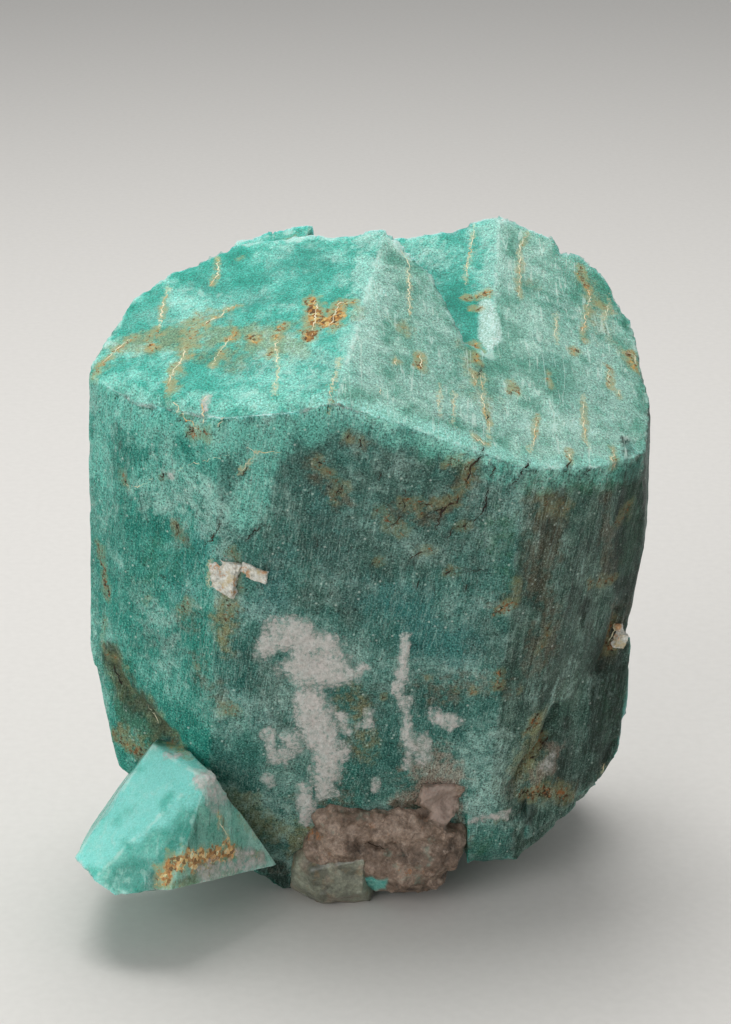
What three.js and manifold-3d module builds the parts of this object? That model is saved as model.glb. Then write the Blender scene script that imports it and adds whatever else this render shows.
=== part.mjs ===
// Rough amazonite: two blocky feldspar crystals grown together, with a thin crystal behind them,
// a small one at the front left foot and a lump of matrix underneath, all one piece of stone.
// Millimetres, +Z up, front at -Y, right at +X. The origin is the middle of the flat spot it rests on.
import * as THREE from 'three';
import { mergeVertices } from 'three/addons/utils/BufferGeometryUtils.js';
import Module from 'manifold-3d';

const wasm = await Module();
wasm.setup();

// A face is [turn, tilt, out]: turned from the front towards the right and tilted up, in degrees,
// and its distance in mm from the heart of its crystal. A place on a face is [across, up] in mm,
// from the point of the face that is nearest to the heart.
const bodyHeart = [0, 0, 45];
const roofRight = [43.5, 57.4, 35.7];
const mainFaces = {
  roofLeft: [-33.3, 67.9, 38.7],
  roofRight,
  front: [1.4, -8, 19],
  frontStrip: [-11, -6, 21.8],
  frontLeft: [-31.6, -4.2, 26.1],
  leftShoulder: [-49.9, -1.2, 32.1],
  leftFlank: [-90, 2, 37.7],
  leftBack: [-109, 4, 35.2],
  backLeft: [-138, 8, 32.3],
  backMiddle: [-157, 8, 27.4],
  backRight: [167, 8, 17.7],
  seamBack: [142.6, 4, 13.5],
  seamRight: [113.6, 0, 11.2],
  leftLow: [-88, -12, 39.3],
  leftFoot: [-80, -50, 42.6],
  frontFoot: [0, -17, 21.9],
  rightUnder: [47.6, -55, 41.3],
  backFoot: [185, -35, 42.1],
  rest: [0, -90, 45],
};
const rearFaces = {
  roofLeft: [-30, 64.5, 27.5],
  roofRight,
  front: [1.4, -8, 18.6],
  frontRight: [28.6, -9.1, 25.4],
  rightShoulder: [43.1, -11, 28.5],
  rightFlank: [80.5, 0, 38.9],
  rightBack: [96, 0, 39],
  backCorner: [118, 0, 40.1],
  backRight: [146, 2, 38.3],
  back: [182, 4, 26.9],
  left: [-90, 0, 4],
  rightLow: [86, -8, 37.6],
  frontFoot: [0, -17, 21.7],
  rightFrontFoot: [25, -25, 32.8],
  rightFoot: [80, -52, 42.6],
  rightUnder: [47.6, -55, 41.3],
  backFoot: [175, -35, 42.1],
  rest: [0, -90, 45],
};
const notchFaces = {
  roofRight,
  front: [1.4, -8, 18],
  right: [80, 0, 24],
  back: [172, 0, -1.5],
  left: [-90, 0, -9],
  foot: [0, -90, -15],
};
const sliverHeart = [-14, 16, 70];
const sliverFaces = {
  roof: [-33.3, 67.9, 15.7],
  right: [80, 2, 6.6],
  back: [176, 6, 6],
  left: [-100, 6, 6.5],
  front: [0, 0, 8],
  foot: [150, -60, 22],
};
const sideHeart = [-24, -18, 17];
const sideFaces = {
  crest: [-46, 50, 6.3],
  front: [-18, 40, 7],
  broken: [51, 9, 6.3],
  leftEdge: [-100, 34, 9.2],
  tip: [-75, -64, 11.1],
  foot: [18, -68, 9.3],
  top: [-10, 85, 7.5],
  right: [118.7, 31.1, 5.1],
  back: [170, 0, 10],
};
const bulgeHeart = [26, -6, 26];
const bulgeFaces = {
  right: [82, -3, 11.8],
  front: [32, -3.1, 3.4],
  cap: [80, 60, 14.4],
  low: [76, -32, 11.4],
  foot: [77, -54, 12.8],
  back: [150, 0, 8],
  left: [-80, 0, 4],
  under: [0, -80, 18],
};
const footHeart = [22, -8, 10];
const footFaces = {
  front: [12, -16, 3.6],
  shoulder: [43.1, -11, 2.2],
  top: [28, 40, 4],
  left: [-92, 0, 7.4],
  right: [77, -54, 3.6],
  end: [80, 0, 10],
  under: [10, -76, 4.7],
  back: [180, 0, 8],
};
const backHeart = [-16, 14, 30];
const backFaces = {
  roof: [160, 50, 17],
  roofLeft: [-126, 46, 15],
  back: [177, 3, 11.5],
  right: [102, 0, 15],
  left: [-124, 2, 13],
  flank: [-97, 0, 17],
  low: [178, -40, 19],
  lowLeft: [-112, -38, 18],
  front: [0, 0, 6],
  rest: [0, -90, 30],
};

// Lines along which the front is worn or split open, as places on a face.
const grooveLowerLeft = { line: [[-27.5, -2], [-25.6, -6.2], [-23.2, -11.8], [-19.3, -15.6], [-11.3, -20.6]],
  width: 3.2, depth: 1.7 };
const cleftLowerRight = { line: [[13.7, -9.6], [12.1, -15.5], [8.9, -18.1], [8.4, -24]],
  width: 2, depth: 1.6 };

// Leaves of late growth and crust: their outlines as places on a face, and how far they stand proud.
const crustPatch = { proud: 0.4, outline: [[-12.5, -1], [-9, 1.2], [-4, 0.5], [-2.2, -4], [-3.5, -9.5],
  [-3, -15], [-5.5, -19], [-6.5, -25], [-9.5, -26], [-10, -17], [-12, -11], [-11, -6]] };
const crustStreak = { proud: 0.4, outline: [[3.6, -1], [5.6, -0.6], [6, -6], [5, -10.5], [6.2, -15],
  [3.4, -14.5], [3.8, -8]] };
const rightLeaf = { proud: 0.5, outline: [[3, 6.5], [8, 6], [11, 9.5], [9.5, 13.5], [5, 14.2], [3.4, 11]] };
const leftLeaf = { proud: 0.3, outline: [[5, -1.6], [9, -0.8], [10.5, 2.6], [8, 4.6], [4.4, 2]] };
const rearSteps = [
  { proud: 1.2, outline: [[-22, -31], [-5, -31], [-3, -7], [-9, 2], [-6, 15], [-15, 21], [-23, 9]] },
  { proud: 2.4, outline: [[-18, -31], [-9, -31], [-8, -13], [-12, -9], [-17, -10]] },
  { proud: 0.8, outline: [[-4, 10], [3, 8], [3.5, 30], [-2, 34]] },
];
const backLeftStep = { proud: 1, outline: [[-9, -8], [2, -10], [6, 8], [1, 24], [-7, 20]] };

// Rough masses: middle, half sizes, how rough, how finely they are faceted, and how blocky they are
// (2 is round, and more is squarer).
const matrixLumps = [
  [[-4.5, -7.8, 5], [7.2, 7.6, 6.2], 0.1, 4, 2.6],
  [[-1.4, -8, 11], [7.1, 8.6, 5.7], 0.12, 4, 3.4],
  [[5.4, -8.2, 9.2], [7, 8.8, 7.8], 0.12, 4, 3.4],
  [[10, -8.4, 12], [3.9, 8.4, 6.4], 0.12, 3, 4],
  [[-5, 23, 13], [14, 7.5, 13], 0.15, 5, 2.4],
  [[-21, 20, 19], [9, 7, 10], 0.18, 4, 2.4],
  [[10, 18, 7], [11, 9.5, 9], 0.16, 4, 2.2],
];
const pockets = [
  [[-16.6, -21.4, 52.4], [5.2, 2.6, 3.4], 0.16, 2],
  [[-13.4, -23.2, 51.4], [1.6, 2, 1.5], 0.16, 1],
  [[35.4, -5.4, 38.6], [1.8, 2.6, 4.4], 0.16, 2],
  [[7.2, -16.8, 15.9], [3, 2.6, 1.5], 0.2, 1],
  [[13, -15.6, 13.6], [2.2, 2.4, 1.5], 0.2, 1],
  [[2.6, -16.8, 10.4], [2.8, 1.8, 1], 0.2, 1],
];
const paleBead = [[36.8, -3.8, 39.2], [1.9, 2.2, 2.8], 0.14, 2];

// Cleaved chunks: middle, size, and their turns about X, Y and Z in degrees.
const matrixChunks = [
  [[10.5, -13.4, 17.4], [6.4, 6.2, 6.2], [6, 4, 8]],
  [[3, 26.5, 25], [9, 6, 8], [34, 28, 14]],
  [[-14, 26, 9], [9, 6, 6], [-26, 18, 30]],
];
const paleChunks = [
  [[-18.2, -19.4, 52.2], [3.2, 3, 4], [6, 12, -28]],
  [[-16.3, -20.6, 53], [1.8, 2.6, 3], [-10, -18, -40]],
  [[-13.6, -21.9, 53.4], [3.4, 2.4, 1.7], [4, 14, -26]],
];
const brokenCorner = [[31, 29, 86], [11, 9, 12], [18, 12, 30]];

// Where the long edges are nicked: middle of the nick and its size.
const nicks = [
  [[-24, -19.8, 75.8], 1.3], [[-15.2, -24.6, 75.4], 1.1], [[9, -23, 72.9], 1.4], [[21, -22.4, 68], 1.3],
  [[31.3, -16.5, 66.2], 1.2], [[37.8, -9.5, 66.8], 1.7], [[-31, 9.6, 82.6], 2], [[-20.5, 15.8, 87.4], 1.5],
  [[33.2, 23.2, 83.6], 1.9], [[38.9, 6.4, 74.2], 2], [[26.4, 26.8, 87.4], 1.5], [[-37.6, -6, 76.2], 1.4],
  [[-38.2, -4, 60], 1.2], [[39.6, -1, 61], 1.3], [[-4, 28, 72], 2.6], [[24.5, 28.5, 50], 2.2],
];

const radians = THREE.MathUtils.degToRad;
let grain = 11;

// The next of a fixed run of numbers between two limits, for natural unevenness.
function uneven(low, high) {
  grain = (grain * 16807) % 2147483647;
  return low + (high - low) * (grain / 2147483647);
}

function solid(geometry) {
  const bare = geometry.clone();
  bare.deleteAttribute('normal');
  bare.deleteAttribute('uv');
  const merged = mergeVertices(bare, 1e-4);
  return new wasm.Manifold(new wasm.Mesh({
    numProp: 3,
    vertProperties: new Float32Array(merged.attributes.position.array),
    triVerts: new Uint32Array(merged.index.array),
  }));
}

function geometryOf(body) {
  const mesh = body.getMesh();
  const geometry = new THREE.BufferGeometry();
  geometry.setAttribute('position', new THREE.BufferAttribute(mesh.vertProperties, 3));
  geometry.setIndex(new THREE.BufferAttribute(mesh.triVerts, 1));
  return geometry;
}

// The way a face looks, out of its crystal.
function facing([turn, tilt]) {
  const flat = Math.cos(radians(tilt));
  return new THREE.Vector3(
    Math.sin(radians(turn)) * flat, -Math.cos(radians(turn)) * flat, Math.sin(radians(tilt)));
}

// A block of stone cut back to each of its natural faces.
function crystal(heart, faces) {
  const block = new THREE.BoxGeometry(170, 170, 170).translate(...heart);
  let body = solid(block);
  for (const face of Object.values(faces)) {
    const out = facing(face);
    const distance = face[2] + out.dot(new THREE.Vector3(...heart));
    body = body.trimByPlane(out.clone().negate().toArray(), -distance);
  }
  return body;
}

// Across, up and outwards on a face, as a matrix.
function frameOf(face, heart = bodyHeart) {
  const out = facing(face);
  const across = new THREE.Vector3(Math.cos(radians(face[0])), Math.sin(radians(face[0])), 0);
  const up = out.clone().cross(across);
  return new THREE.Matrix4().makeBasis(across, up, out)
    .setPosition(out.clone().multiplyScalar(face[2]).add(new THREE.Vector3(...heart)));
}

// A thin layer that stands proud of a face, rooted below it.
function leaf(face, { outline, proud }, heart = bodyHeart) {
  const root = 1.5;
  const shape = new THREE.Shape(outline.map(([across, up]) => new THREE.Vector2(across, up)));
  const layer = new THREE.ExtrudeGeometry(shape, { depth: root + proud, bevelEnabled: false });
  return solid(layer.translate(0, 0, -root).applyMatrix4(frameOf(face, heart)));
}

// A spindle that lies in a face: added it is a rib, taken away it is a furrow.
function spindle(face, from, to, width, depth, heart = bodyHeart) {
  const [run, rise] = [to[0] - from[0], to[1] - from[1]];
  const halfLength = Math.hypot(run, rise) * 0.58;
  const shape = new THREE.OctahedronGeometry(1).scale(width / 2, halfLength, depth)
    .rotateZ(Math.atan2(rise, run) - Math.PI / 2)
    .translate((from[0] + to[0]) / 2, (from[1] + to[1]) / 2, 0);
  return solid(shape.applyMatrix4(frameOf(face, heart)));
}

function chain(face, { line, width, depth }) {
  const links = line.slice(1).map((place, i) => spindle(face, line[i], place, width, depth));
  return wasm.Manifold.union(links);
}

// Upright growth lines: a row of fine furrows that fills a span across and a span up a face.
function ribs(face, across, up, count, depth, heart = bodyHeart) {
  return Array.from({ length: count }, (_, i) => {
    const place = across[0] + (across[1] - across[0]) * (i + uneven(0.2, 0.8)) / count;
    const high = up[0] - uneven(0, 5);
    const low = up[1] + uneven(0, 7);
    return spindle(face, [place, low], [place + uneven(-0.6, 0.6), high], uneven(1.3, 2.1), depth, heart);
  });
}

// A rough mass: a ball drawn out towards a block, whose skin is pushed in and out along a few slow waves.
function lump(centre, radii, roughness, detail, blocky = 2) {
  const ball = new THREE.IcosahedronGeometry(1, detail);
  const waves = [1.7, 2.9, 4.3].map((pitch) => ({
    way: new THREE.Vector3(uneven(-1, 1), uneven(-1, 1), uneven(-1, 1)).normalize().multiplyScalar(pitch),
    start: uneven(0, 6.3),
  }));
  const spot = new THREE.Vector3();
  const place = ball.attributes.position;
  for (let i = 0; i < place.count; i++) {
    spot.fromBufferAttribute(place, i);
    const push = waves.reduce((sum, wave) => sum + Math.sin(spot.dot(wave.way) * 2 + wave.start), 0);
    const reach = Math.hypot(...spot.toArray().map((v) => Math.abs(v) ** (blocky / 2))) ** (2 / blocky);
    spot.multiplyScalar((1 + roughness * push / waves.length) / reach);
    place.setXYZ(i, spot.x, spot.y, spot.z);
  }
  return solid(ball.scale(...radii).translate(...centre));
}

// A cleaved chunk: a box turned in the rock.
function chunk(centre, size, turns) {
  const box = new THREE.BoxGeometry(...size);
  box.rotateX(radians(turns[0])).rotateY(radians(turns[1])).rotateZ(radians(turns[2]));
  return solid(box.translate(...centre));
}

function crystals() {
  return [
    crystal(bodyHeart, mainFaces),
    crystal(bodyHeart, rearFaces),
    crystal(bodyHeart, notchFaces),
    crystal(sliverHeart, sliverFaces),
    crystal(sideHeart, sideFaces),
    crystal(bulgeHeart, bulgeFaces),
    crystal(footHeart, footFaces),
    crystal(backHeart, backFaces),
  ];
}

function layers() {
  return [
    leaf(mainFaces.front, crustPatch),
    leaf(mainFaces.front, crustStreak),
    leaf(rearFaces.rightFlank, rightLeaf),
    leaf(mainFaces.leftFlank, leftLeaf),
    leaf(mainFaces.backMiddle, backLeftStep),
    ...rearSteps.map((step) => leaf(rearFaces.back, step)),
  ];
}

// The reddish matrix and its quartz, under and behind the crystals.
function matrix() {
  return [
    ...matrixLumps.map((mass) => lump(...mass)),
    ...matrixChunks.map((piece) => chunk(...piece)),
  ];
}

// Small pale feldspar crystals, sitting in the two open pockets of the front.
function paleCrystals() {
  return [...paleChunks.map((piece) => chunk(...piece)), lump(...paleBead)];
}

function nick([centre, size]) {
  return lump(centre, [size * 1.7, size, size], 0.15, 0);
}

function hollows() {
  return [
    chain(mainFaces.frontLeft, grooveLowerLeft),
    chain(rearFaces.rightShoulder, cleftLowerRight),
    chunk(...brokenCorner),
    ...pockets.map((pocket) => lump(...pocket)),
    ...nicks.map(nick),
    ...ribs(rearFaces.frontRight, [4, 15], [25, 1], 7, 0.3),
    ...ribs(bulgeFaces.right, [-2, 7], [9, -9], 5, 0.35, bulgeHeart),
  ];
}

const grown = wasm.Manifold.union([...crystals(), ...layers(), ...matrix()]);
const worn = grown.subtract(wasm.Manifold.union(hollows()));
const stone = worn.add(wasm.Manifold.union(paleCrystals())).trimByPlane([0, 0, 1], 0);

const amazonite = new THREE.MeshStandardMaterial({ color: '#5ba79a', roughness: 0.45, metalness: 0 });
const specimen = new THREE.Mesh(geometryOf(stone), amazonite);
specimen.name = 'rough_amazonite';

const part = new THREE.Group();
part.add(specimen);
export default part;
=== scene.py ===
# Rough amazonite: blocky blue-green feldspar crystals grown together on a lump of pinkish rock.
import math
import random
from functools import partial

import bmesh
import bpy
import numpy as np
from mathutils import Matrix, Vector, noise
from mathutils.bvhtree import BVHTree
from mathutils.kdtree import KDTree


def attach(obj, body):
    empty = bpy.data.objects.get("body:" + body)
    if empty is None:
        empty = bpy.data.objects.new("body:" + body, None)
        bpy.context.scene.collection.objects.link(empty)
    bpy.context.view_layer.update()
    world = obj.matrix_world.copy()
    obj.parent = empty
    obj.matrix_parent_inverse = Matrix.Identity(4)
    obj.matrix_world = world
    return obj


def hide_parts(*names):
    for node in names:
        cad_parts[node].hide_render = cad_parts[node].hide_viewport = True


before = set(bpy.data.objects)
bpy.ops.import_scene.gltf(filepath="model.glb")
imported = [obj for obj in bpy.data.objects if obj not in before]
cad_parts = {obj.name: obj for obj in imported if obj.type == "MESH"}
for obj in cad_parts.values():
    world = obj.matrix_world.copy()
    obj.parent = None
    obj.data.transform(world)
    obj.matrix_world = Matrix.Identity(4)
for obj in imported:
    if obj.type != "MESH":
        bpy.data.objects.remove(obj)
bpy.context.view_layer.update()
mm = 0.001
dice = random.Random(7)

# camera: millimetres and degrees, and the picture's size in pixels
shot = {"lookAt": (0.3, -4.0, 55.55), "distance": 390, "elevation": 20, "lens": 100, "sensor": 36,
        "clipEnd": 20000, "wide": 731, "high": 1024}
tilt = math.radians(shot["elevation"])
ahead = (0, math.cos(tilt), -math.sin(tilt))
upward = (0, math.sin(tilt), math.cos(tilt))
cameraEye = (Vector(shot["lookAt"]) - Vector(ahead) * shot["distance"]) * mm
pictureReach = shot["lens"] / shot["sensor"] * shot["high"]   # pixels, for a slope of 1


def addCamera():
    bpy.ops.object.camera_add(location=cameraEye, rotation=(math.pi / 2 - tilt, 0, 0))
    camera = bpy.context.object
    camera.data.lens = shot["lens"]
    camera.data.sensor_width = shot["sensor"]
    camera.data.clip_end = shot["clipEnd"] * mm
    bpy.context.scene.camera = camera


def aimThrough(px, py):
    # the way from the camera's eye through a place in its picture
    aim = Vector(ahead) + Vector((1, 0, 0)) * (px - shot["wide"] / 2) / pictureReach
    aim = aim - Vector(upward) * (py - shot["high"] / 2) / pictureReach
    return aim.normalized()


def picturePlaces(points):
    # where points, in mm, show in the camera's picture
    away = points - (np.array(shot["lookAt"]) - np.array(ahead) * shot["distance"])
    depth = away @ np.array(ahead)
    return np.stack([shot["wide"] / 2 + away[:, 0] / depth * pictureReach,
                     shot["high"] / 2 - away @ np.array(upward) / depth * pictureReach], axis=1)


addCamera()
print("camera placed")


# shaping tools

noiseLayers = (1.0, 2.0)   # how fast the layers of noise weaken, and how much finer each is than the last
seedStep = 13.7   # how far apart the patches of noise of two seeds lie


def onlySelect(piece):
    bpy.ops.object.select_all(action="DESELECT")
    piece.select_set(True)
    bpy.context.view_layer.objects.active = piece


def applyModifier(piece, kind, **settings):
    onlySelect(piece)
    step = piece.modifiers.new(kind.lower(), kind)
    for name, value in settings.items():
        setattr(step, name, value)
    bpy.ops.object.modifier_apply(modifier=step.name)


def facing(turn, tilt):
    flat = math.cos(math.radians(tilt))
    return Vector((math.sin(math.radians(turn)) * flat, -math.cos(math.radians(turn)) * flat,
                   math.sin(math.radians(tilt))))


def sawTo(heart, faces):
    # in edit mode: saws the selected block back to each face, [turn, tilt, out] from its heart
    for turn, tilt, out in faces:
        away = facing(turn, tilt)
        bpy.ops.mesh.select_all(action="SELECT")
        bpy.ops.mesh.bisect(plane_co=(Vector(heart) + away * out) * mm, plane_no=away,
                            use_fill=True, clear_outer=True)


def cutCrystal(name, heart, faces, block=170):
    # a block around the heart, sawn to a crystal
    bpy.ops.object.select_all(action="DESELECT")
    bpy.ops.mesh.primitive_cube_add(size=block * mm, location=[v * mm for v in heart])
    crystal = bpy.context.object
    crystal.name = name
    bpy.ops.object.transform_apply(location=True, rotation=False, scale=False)
    bpy.ops.object.mode_set(mode="EDIT")
    sawTo(heart, faces.values())
    bpy.ops.mesh.select_all(action="SELECT")
    bpy.ops.mesh.remove_doubles(threshold=1e-6)
    bpy.ops.mesh.normals_make_consistent(inside=False)
    bpy.ops.object.mode_set(mode="OBJECT")
    return crystal


def addChunk(name, centre, size, turns):
    # a cleaved block, turned in the rock
    bpy.ops.object.select_all(action="DESELECT")
    bpy.ops.mesh.primitive_cube_add(size=1, location=[v * mm for v in centre],
                                    rotation=[math.radians(t) for t in turns])
    chunk = bpy.context.object
    chunk.name = name
    chunk.scale = [v * mm for v in size]
    bpy.ops.object.transform_apply(location=True, rotation=True, scale=True)
    return chunk


def addLump(name, centre, radii, rough, seed, blocky=2, bumps=1.6):
    # a rough mass: a ball drawn out towards a block, and pushed in and out, with bumps to a radius
    bpy.ops.object.select_all(action="DESELECT")
    bpy.ops.mesh.primitive_ico_sphere_add(subdivisions=5, radius=1)
    lump = bpy.context.object
    lump.name = name
    for point in lump.data.vertices:
        push = noise.fractal(point.co * bumps + Vector((seed, 0, 0)), *noiseLayers, 4)
        reach = sum(abs(v) ** blocky for v in point.co) ** (1 / blocky)
        point.co = point.co * (1 + rough * push) / reach
    lump.scale = [v * mm for v in radii]
    lump.location = [v * mm for v in centre]
    bpy.ops.object.transform_apply(location=True, rotation=True, scale=True)
    return lump


def combine(base, other, operation):
    applyModifier(base, "BOOLEAN", operation=operation, solver="EXACT", object=other)
    bpy.data.objects.remove(other)


def fuse(name, pieces):
    base = pieces[0]
    for other in pieces[1:]:
        combine(base, other, "UNION")
    base.name = name
    base.data.name = name
    return base


def standOnFloor(piece):
    onlySelect(piece)
    bpy.ops.object.mode_set(mode="EDIT")
    bpy.ops.mesh.select_all(action="SELECT")
    bpy.ops.mesh.bisect(plane_co=(0, 0, 0), plane_no=(0, 0, -1), use_fill=True, clear_outer=True)
    bpy.ops.object.mode_set(mode="OBJECT")


def refine(piece, cell, depth=8):
    # even small faces, cell mm wide, that keep the crystal edges crisp
    longest = max(piece.dimensions) / mm
    applyModifier(piece, "REMESH", mode="SHARP", octree_depth=depth, scale=longest / (2 ** depth * cell),
                  sharpness=1.0, use_remove_disconnected=False)


def remesh(piece, cell):
    # even small faces, cell mm wide, with rounded edges
    applyModifier(piece, "REMESH", mode="VOXEL", voxel_size=cell * mm)


def soften(piece, rounds=3):
    applyModifier(piece, "SMOOTH", factor=0.5, iterations=rounds)


def smoothShade(piece, degrees):
    # even shading across all edges that are blunter than this
    onlySelect(piece)
    bpy.ops.object.shade_smooth_by_angle(angle=math.radians(degrees))


def mendTouching(piece):
    # where two sheets of small faces share an edge, opens them and closes them apart
    onlySelect(piece)
    bpy.ops.object.mode_set(mode="EDIT")
    bpy.ops.mesh.select_mode(type="VERT")
    for _ in range(2):
        bpy.ops.mesh.select_all(action="DESELECT")
        bpy.ops.mesh.select_non_manifold()
        bpy.ops.mesh.delete(type="VERT")
        bpy.ops.mesh.select_non_manifold()
        bpy.ops.mesh.fill_holes(sides=0)
    bpy.ops.object.mode_set(mode="OBJECT")


def rowsOf(piece, kind):
    flat = np.empty(len(piece.data.vertices) * 3)
    piece.data.vertices.foreach_get(kind, flat)
    return flat.reshape(-1, 3)


def pointsOf(piece):
    return rowsOf(piece, "co") / mm


def pushOut(piece, points, move):
    # moves each point out or in by its own mm, and none below the floor
    points = points + rowsOf(piece, "normal") * move[:, None]
    points[:, 2] = np.maximum(points[:, 2], 0)
    piece.data.vertices.foreach_set("co", (points * mm).ravel())
    piece.data.update()


def addLayer(piece, name, values):
    # keeps a value for each point with the mesh, for its material
    layer = piece.data.attributes.new(name, "FLOAT", "POINT")
    layer.data.foreach_set("value", values)


def shownOn(piece, name):
    values = np.empty(len(piece.data.vertices))
    piece.data.attributes[name].data.foreach_get("value", values)
    return values


def roughness(points, size, seed, layers=3, stretch=(1, 1, 1)):
    # uneven values, about -1 to 1, whose bumps are about size mm wide
    scaled = points / (size * np.array(stretch)) + seed * seedStep
    return np.array([noise.fractal(point, *noiseLayers, layers) for point in scaled.tolist()])


# uneven reliefs: the height (in mm, in steps for the cleavage and the ledges, and a plain number where the
# relief is compared or widens a groove), the width of the bumps in mm, the seed, the layers of noise, and
# how far they are drawn out
reliefs = {
    "wave": (0.16, 11, 1), "grain": (0.07, 2.2, 2, 4), "rib": (0.07, 0.9, 3, 2, (1, 1, 14)),
    "cleavage": (3.2, 15, 4, 3, (1, 1, 2.4)), "chip": (1, 6.5, 5, 4), "nick": (1, 1.8, 6, 2),
    "crust": (0.35, 1.2, 7), "groove": (0.25, 1.5, 8, 2), "rockLump": (0.9, 6, 11),
    "rockGrain": (0.35, 1.2, 12), "rockLedge": (2.4, 5, 13, 2, (1.4, 1, 0.8)),
    "paleBump": (0.28, 1.6, 31), "paleGrain": (0.1, 0.5, 32)}


def relief(points, name, scale=1):
    height, *bumps = reliefs[name]
    return height * scale * roughness(points, *bumps)


def smoothStep(values, low, high):
    share = np.clip((values - low) / (high - low), 0, 1)
    return share * share * (3 - 2 * share)


def fading(values, reach):
    # full at 0, gone at the reach
    return 1 - smoothStep(values, 0, reach)


def stepped(values):
    # uneven values as flat ledges with short slopes between them
    level = np.floor(values)
    return level + smoothStep(values - level, 0.66, 1)


def nearRoute(points, route):
    # distance in mm from each point to a line through space
    best = np.full(len(points), np.inf)
    if len(route) == 1:
        return np.linalg.norm(points - route[0], axis=1)
    for start, end in zip(route, route[1:]):
        way = end - start
        along = np.clip((points - start) @ way / max(way @ way, 1e-9), 0, 1)
        best = np.minimum(best, np.linalg.norm(points - start - along[:, None] * way, axis=1))
    return best


# the crystals

# faces of each crystal as (turn, tilt, out): degrees from the front, degrees up, mm from its heart
bodyHeart = (0, 0, 45)
roofRight = (43.5, 57.4, 35.7)
mainCrystal = {
    "roofLeft": (-33.3, 67.9, 38.7), "roofRight": roofRight, "front": (1.4, -8, 19),
    "frontStrip": (-11, -6, 21.8), "frontLeft": (-31.6, -4.2, 26.1), "leftShoulder": (-49.9, -1.2, 32.1),
    "frontRight": (28.6, -9.1, 25.4), "rightShoulder": (43.1, -11, 28.5),
    "leftFlank": (-90, 2, 37.7), "leftBack": (-109, 4, 35.2), "backLeft": (-138, 8, 32.3),
    "backMiddle": (-157, 8, 27.4), "backRight": (167, 8, 17.7), "seamBack": (142.6, 4, 13.5),
    "seamRight": (113.6, 0, 11.2), "leftLow": (-88, -12, 39.3), "leftFoot": (-80, -50, 42.6),
    "frontFoot": (0, -17, 21.9), "rightUnder": (47.6, -55, 41.3), "backFoot": (185, -35, 42.1),
    "rest": (0, -90, 45)}
rearCrystal = {
    "roofLeft": (-30, 64.5, 27.5), "roofRight": roofRight, "front": (1.4, -8, 19),
    "frontRight": (28.6, -9.1, 25.4), "rightShoulder": (43.1, -11, 28.5), "rightFlank": (80.5, 0, 38.9),
    "rightBack": (96, 0, 39), "backCorner": (118, 0, 40.1), "backRight": (146, 2, 38.3),
    "back": (182, 4, 26.9), "left": (-90, 0, 4), "rightLow": (86, -8, 37.6), "frontFoot": (0, -17, 21.7),
    "rightFrontFoot": (25, -25, 32.8), "rightFoot": (80, -52, 42.6), "rightUnder": (47.6, -55, 41.3),
    "backFoot": (175, -35, 42.1), "rest": (0, -90, 45)}
notchCrystal = {
    "roofRight": roofRight, "front": (1.4, -8, 18), "right": (80, 0, 24), "back": (172, 0, -1.5),
    "left": (-90, 0, -9), "foot": (0, -90, -15)}
sliverHeart = (-14, 16, 70)
sliverCrystal = {
    "roof": (-33.3, 67.9, 15.7), "right": (80, 2, 6.6), "back": (176, 6, 6), "left": (-100, 6, 6.5),
    "front": (0, 0, 8), "foot": (150, -60, 22)}
sideHeart = (-24, -18, 17)
sideCrystal = {
    "crest": (-46, 50, 6.3), "front": (-18, 40, 7), "broken": (51, 9, 6.3), "leftEdge": (-100, 34, 9.2),
    "tip": (-75, -64, 11.1), "foot": (18, -68, 9.3), "top": (-10, 85, 7.5), "right": (118.7, 31.1, 5.1),
    "back": (170, 0, 10)}
bulgeHeart = (26, -6, 26)
bulgeCrystal = {
    "right": (82, -3, 11.8), "front": (32, -3.1, 3.4), "cap": (80, 60, 14.4),
    "low": (76, -32, 11.4), "foot": (77, -54, 12.8), "back": (150, 0, 8), "left": (-80, 0, 4),
    "under": (0, -80, 18)}
footHeart = (22, -8, 10)
footCrystal = {
    "front": (12, -16, 3.6), "shoulder": (43.1, -11, 2.2), "top": (28, 40, 4), "left": (-92, 0, 7.4),
    "right": (77, -54, 3.6), "end": (80, 0, 10), "under": (10, -76, 4.7), "back": (180, 0, 8)}
backHeart = (-16, 14, 30)
backCrystal = {
    "roof": (160, 50, 17), "roofLeft": (-126, 46, 15), "back": (177, 3, 11.5), "right": (102, 0, 15),
    "left": (-124, 2, 13), "flank": (-97, 0, 17), "low": (178, -40, 19), "lowLeft": (-112, -38, 18),
    "front": (0, 0, 6), "rest": (0, -90, 30)}
# slabs left standing on the back where the rest split away
backSlabs = [
    ((12.5, 22, 38), {"back": (182, 4, 6.6), "left": (-92, 3, 9), "right": (88, -4, 9.5),
                      "top": (70, 52, 22), "topLeft": (-60, 48, 21), "bottom": (180, -60, 22),
                      "front": (0, 0, 8)}),
    ((13, 22, 24), {"back": (181, 5, 8.9), "left": (-95, 4, 5), "right": (92, -6, 5.2),
                    "top": (-60, 60, 10), "bottom": (180, -66, 15), "front": (0, 0, 8)}),
    ((1, 22, 66), {"back": (183, 4, 4.5), "left": (-88, 8, 4), "right": (95, -3, 4),
                   "top": (60, 78, 12), "bottom": (120, -50, 9), "front": (0, 0, 8)}),
    ((-17, 20, 64), {"back": (-157, 8, 1.2), "left": (-67, 4, 5), "right": (113, -4, 4.5),
                     "top": (-100, 72, 14), "bottom": (-157, -56, 13), "front": (23, 0, 6)})]
brokenCorner = ((31, 29, 86), (11, 9, 12), (18, 12, 30))   # centre, size, turns
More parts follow.
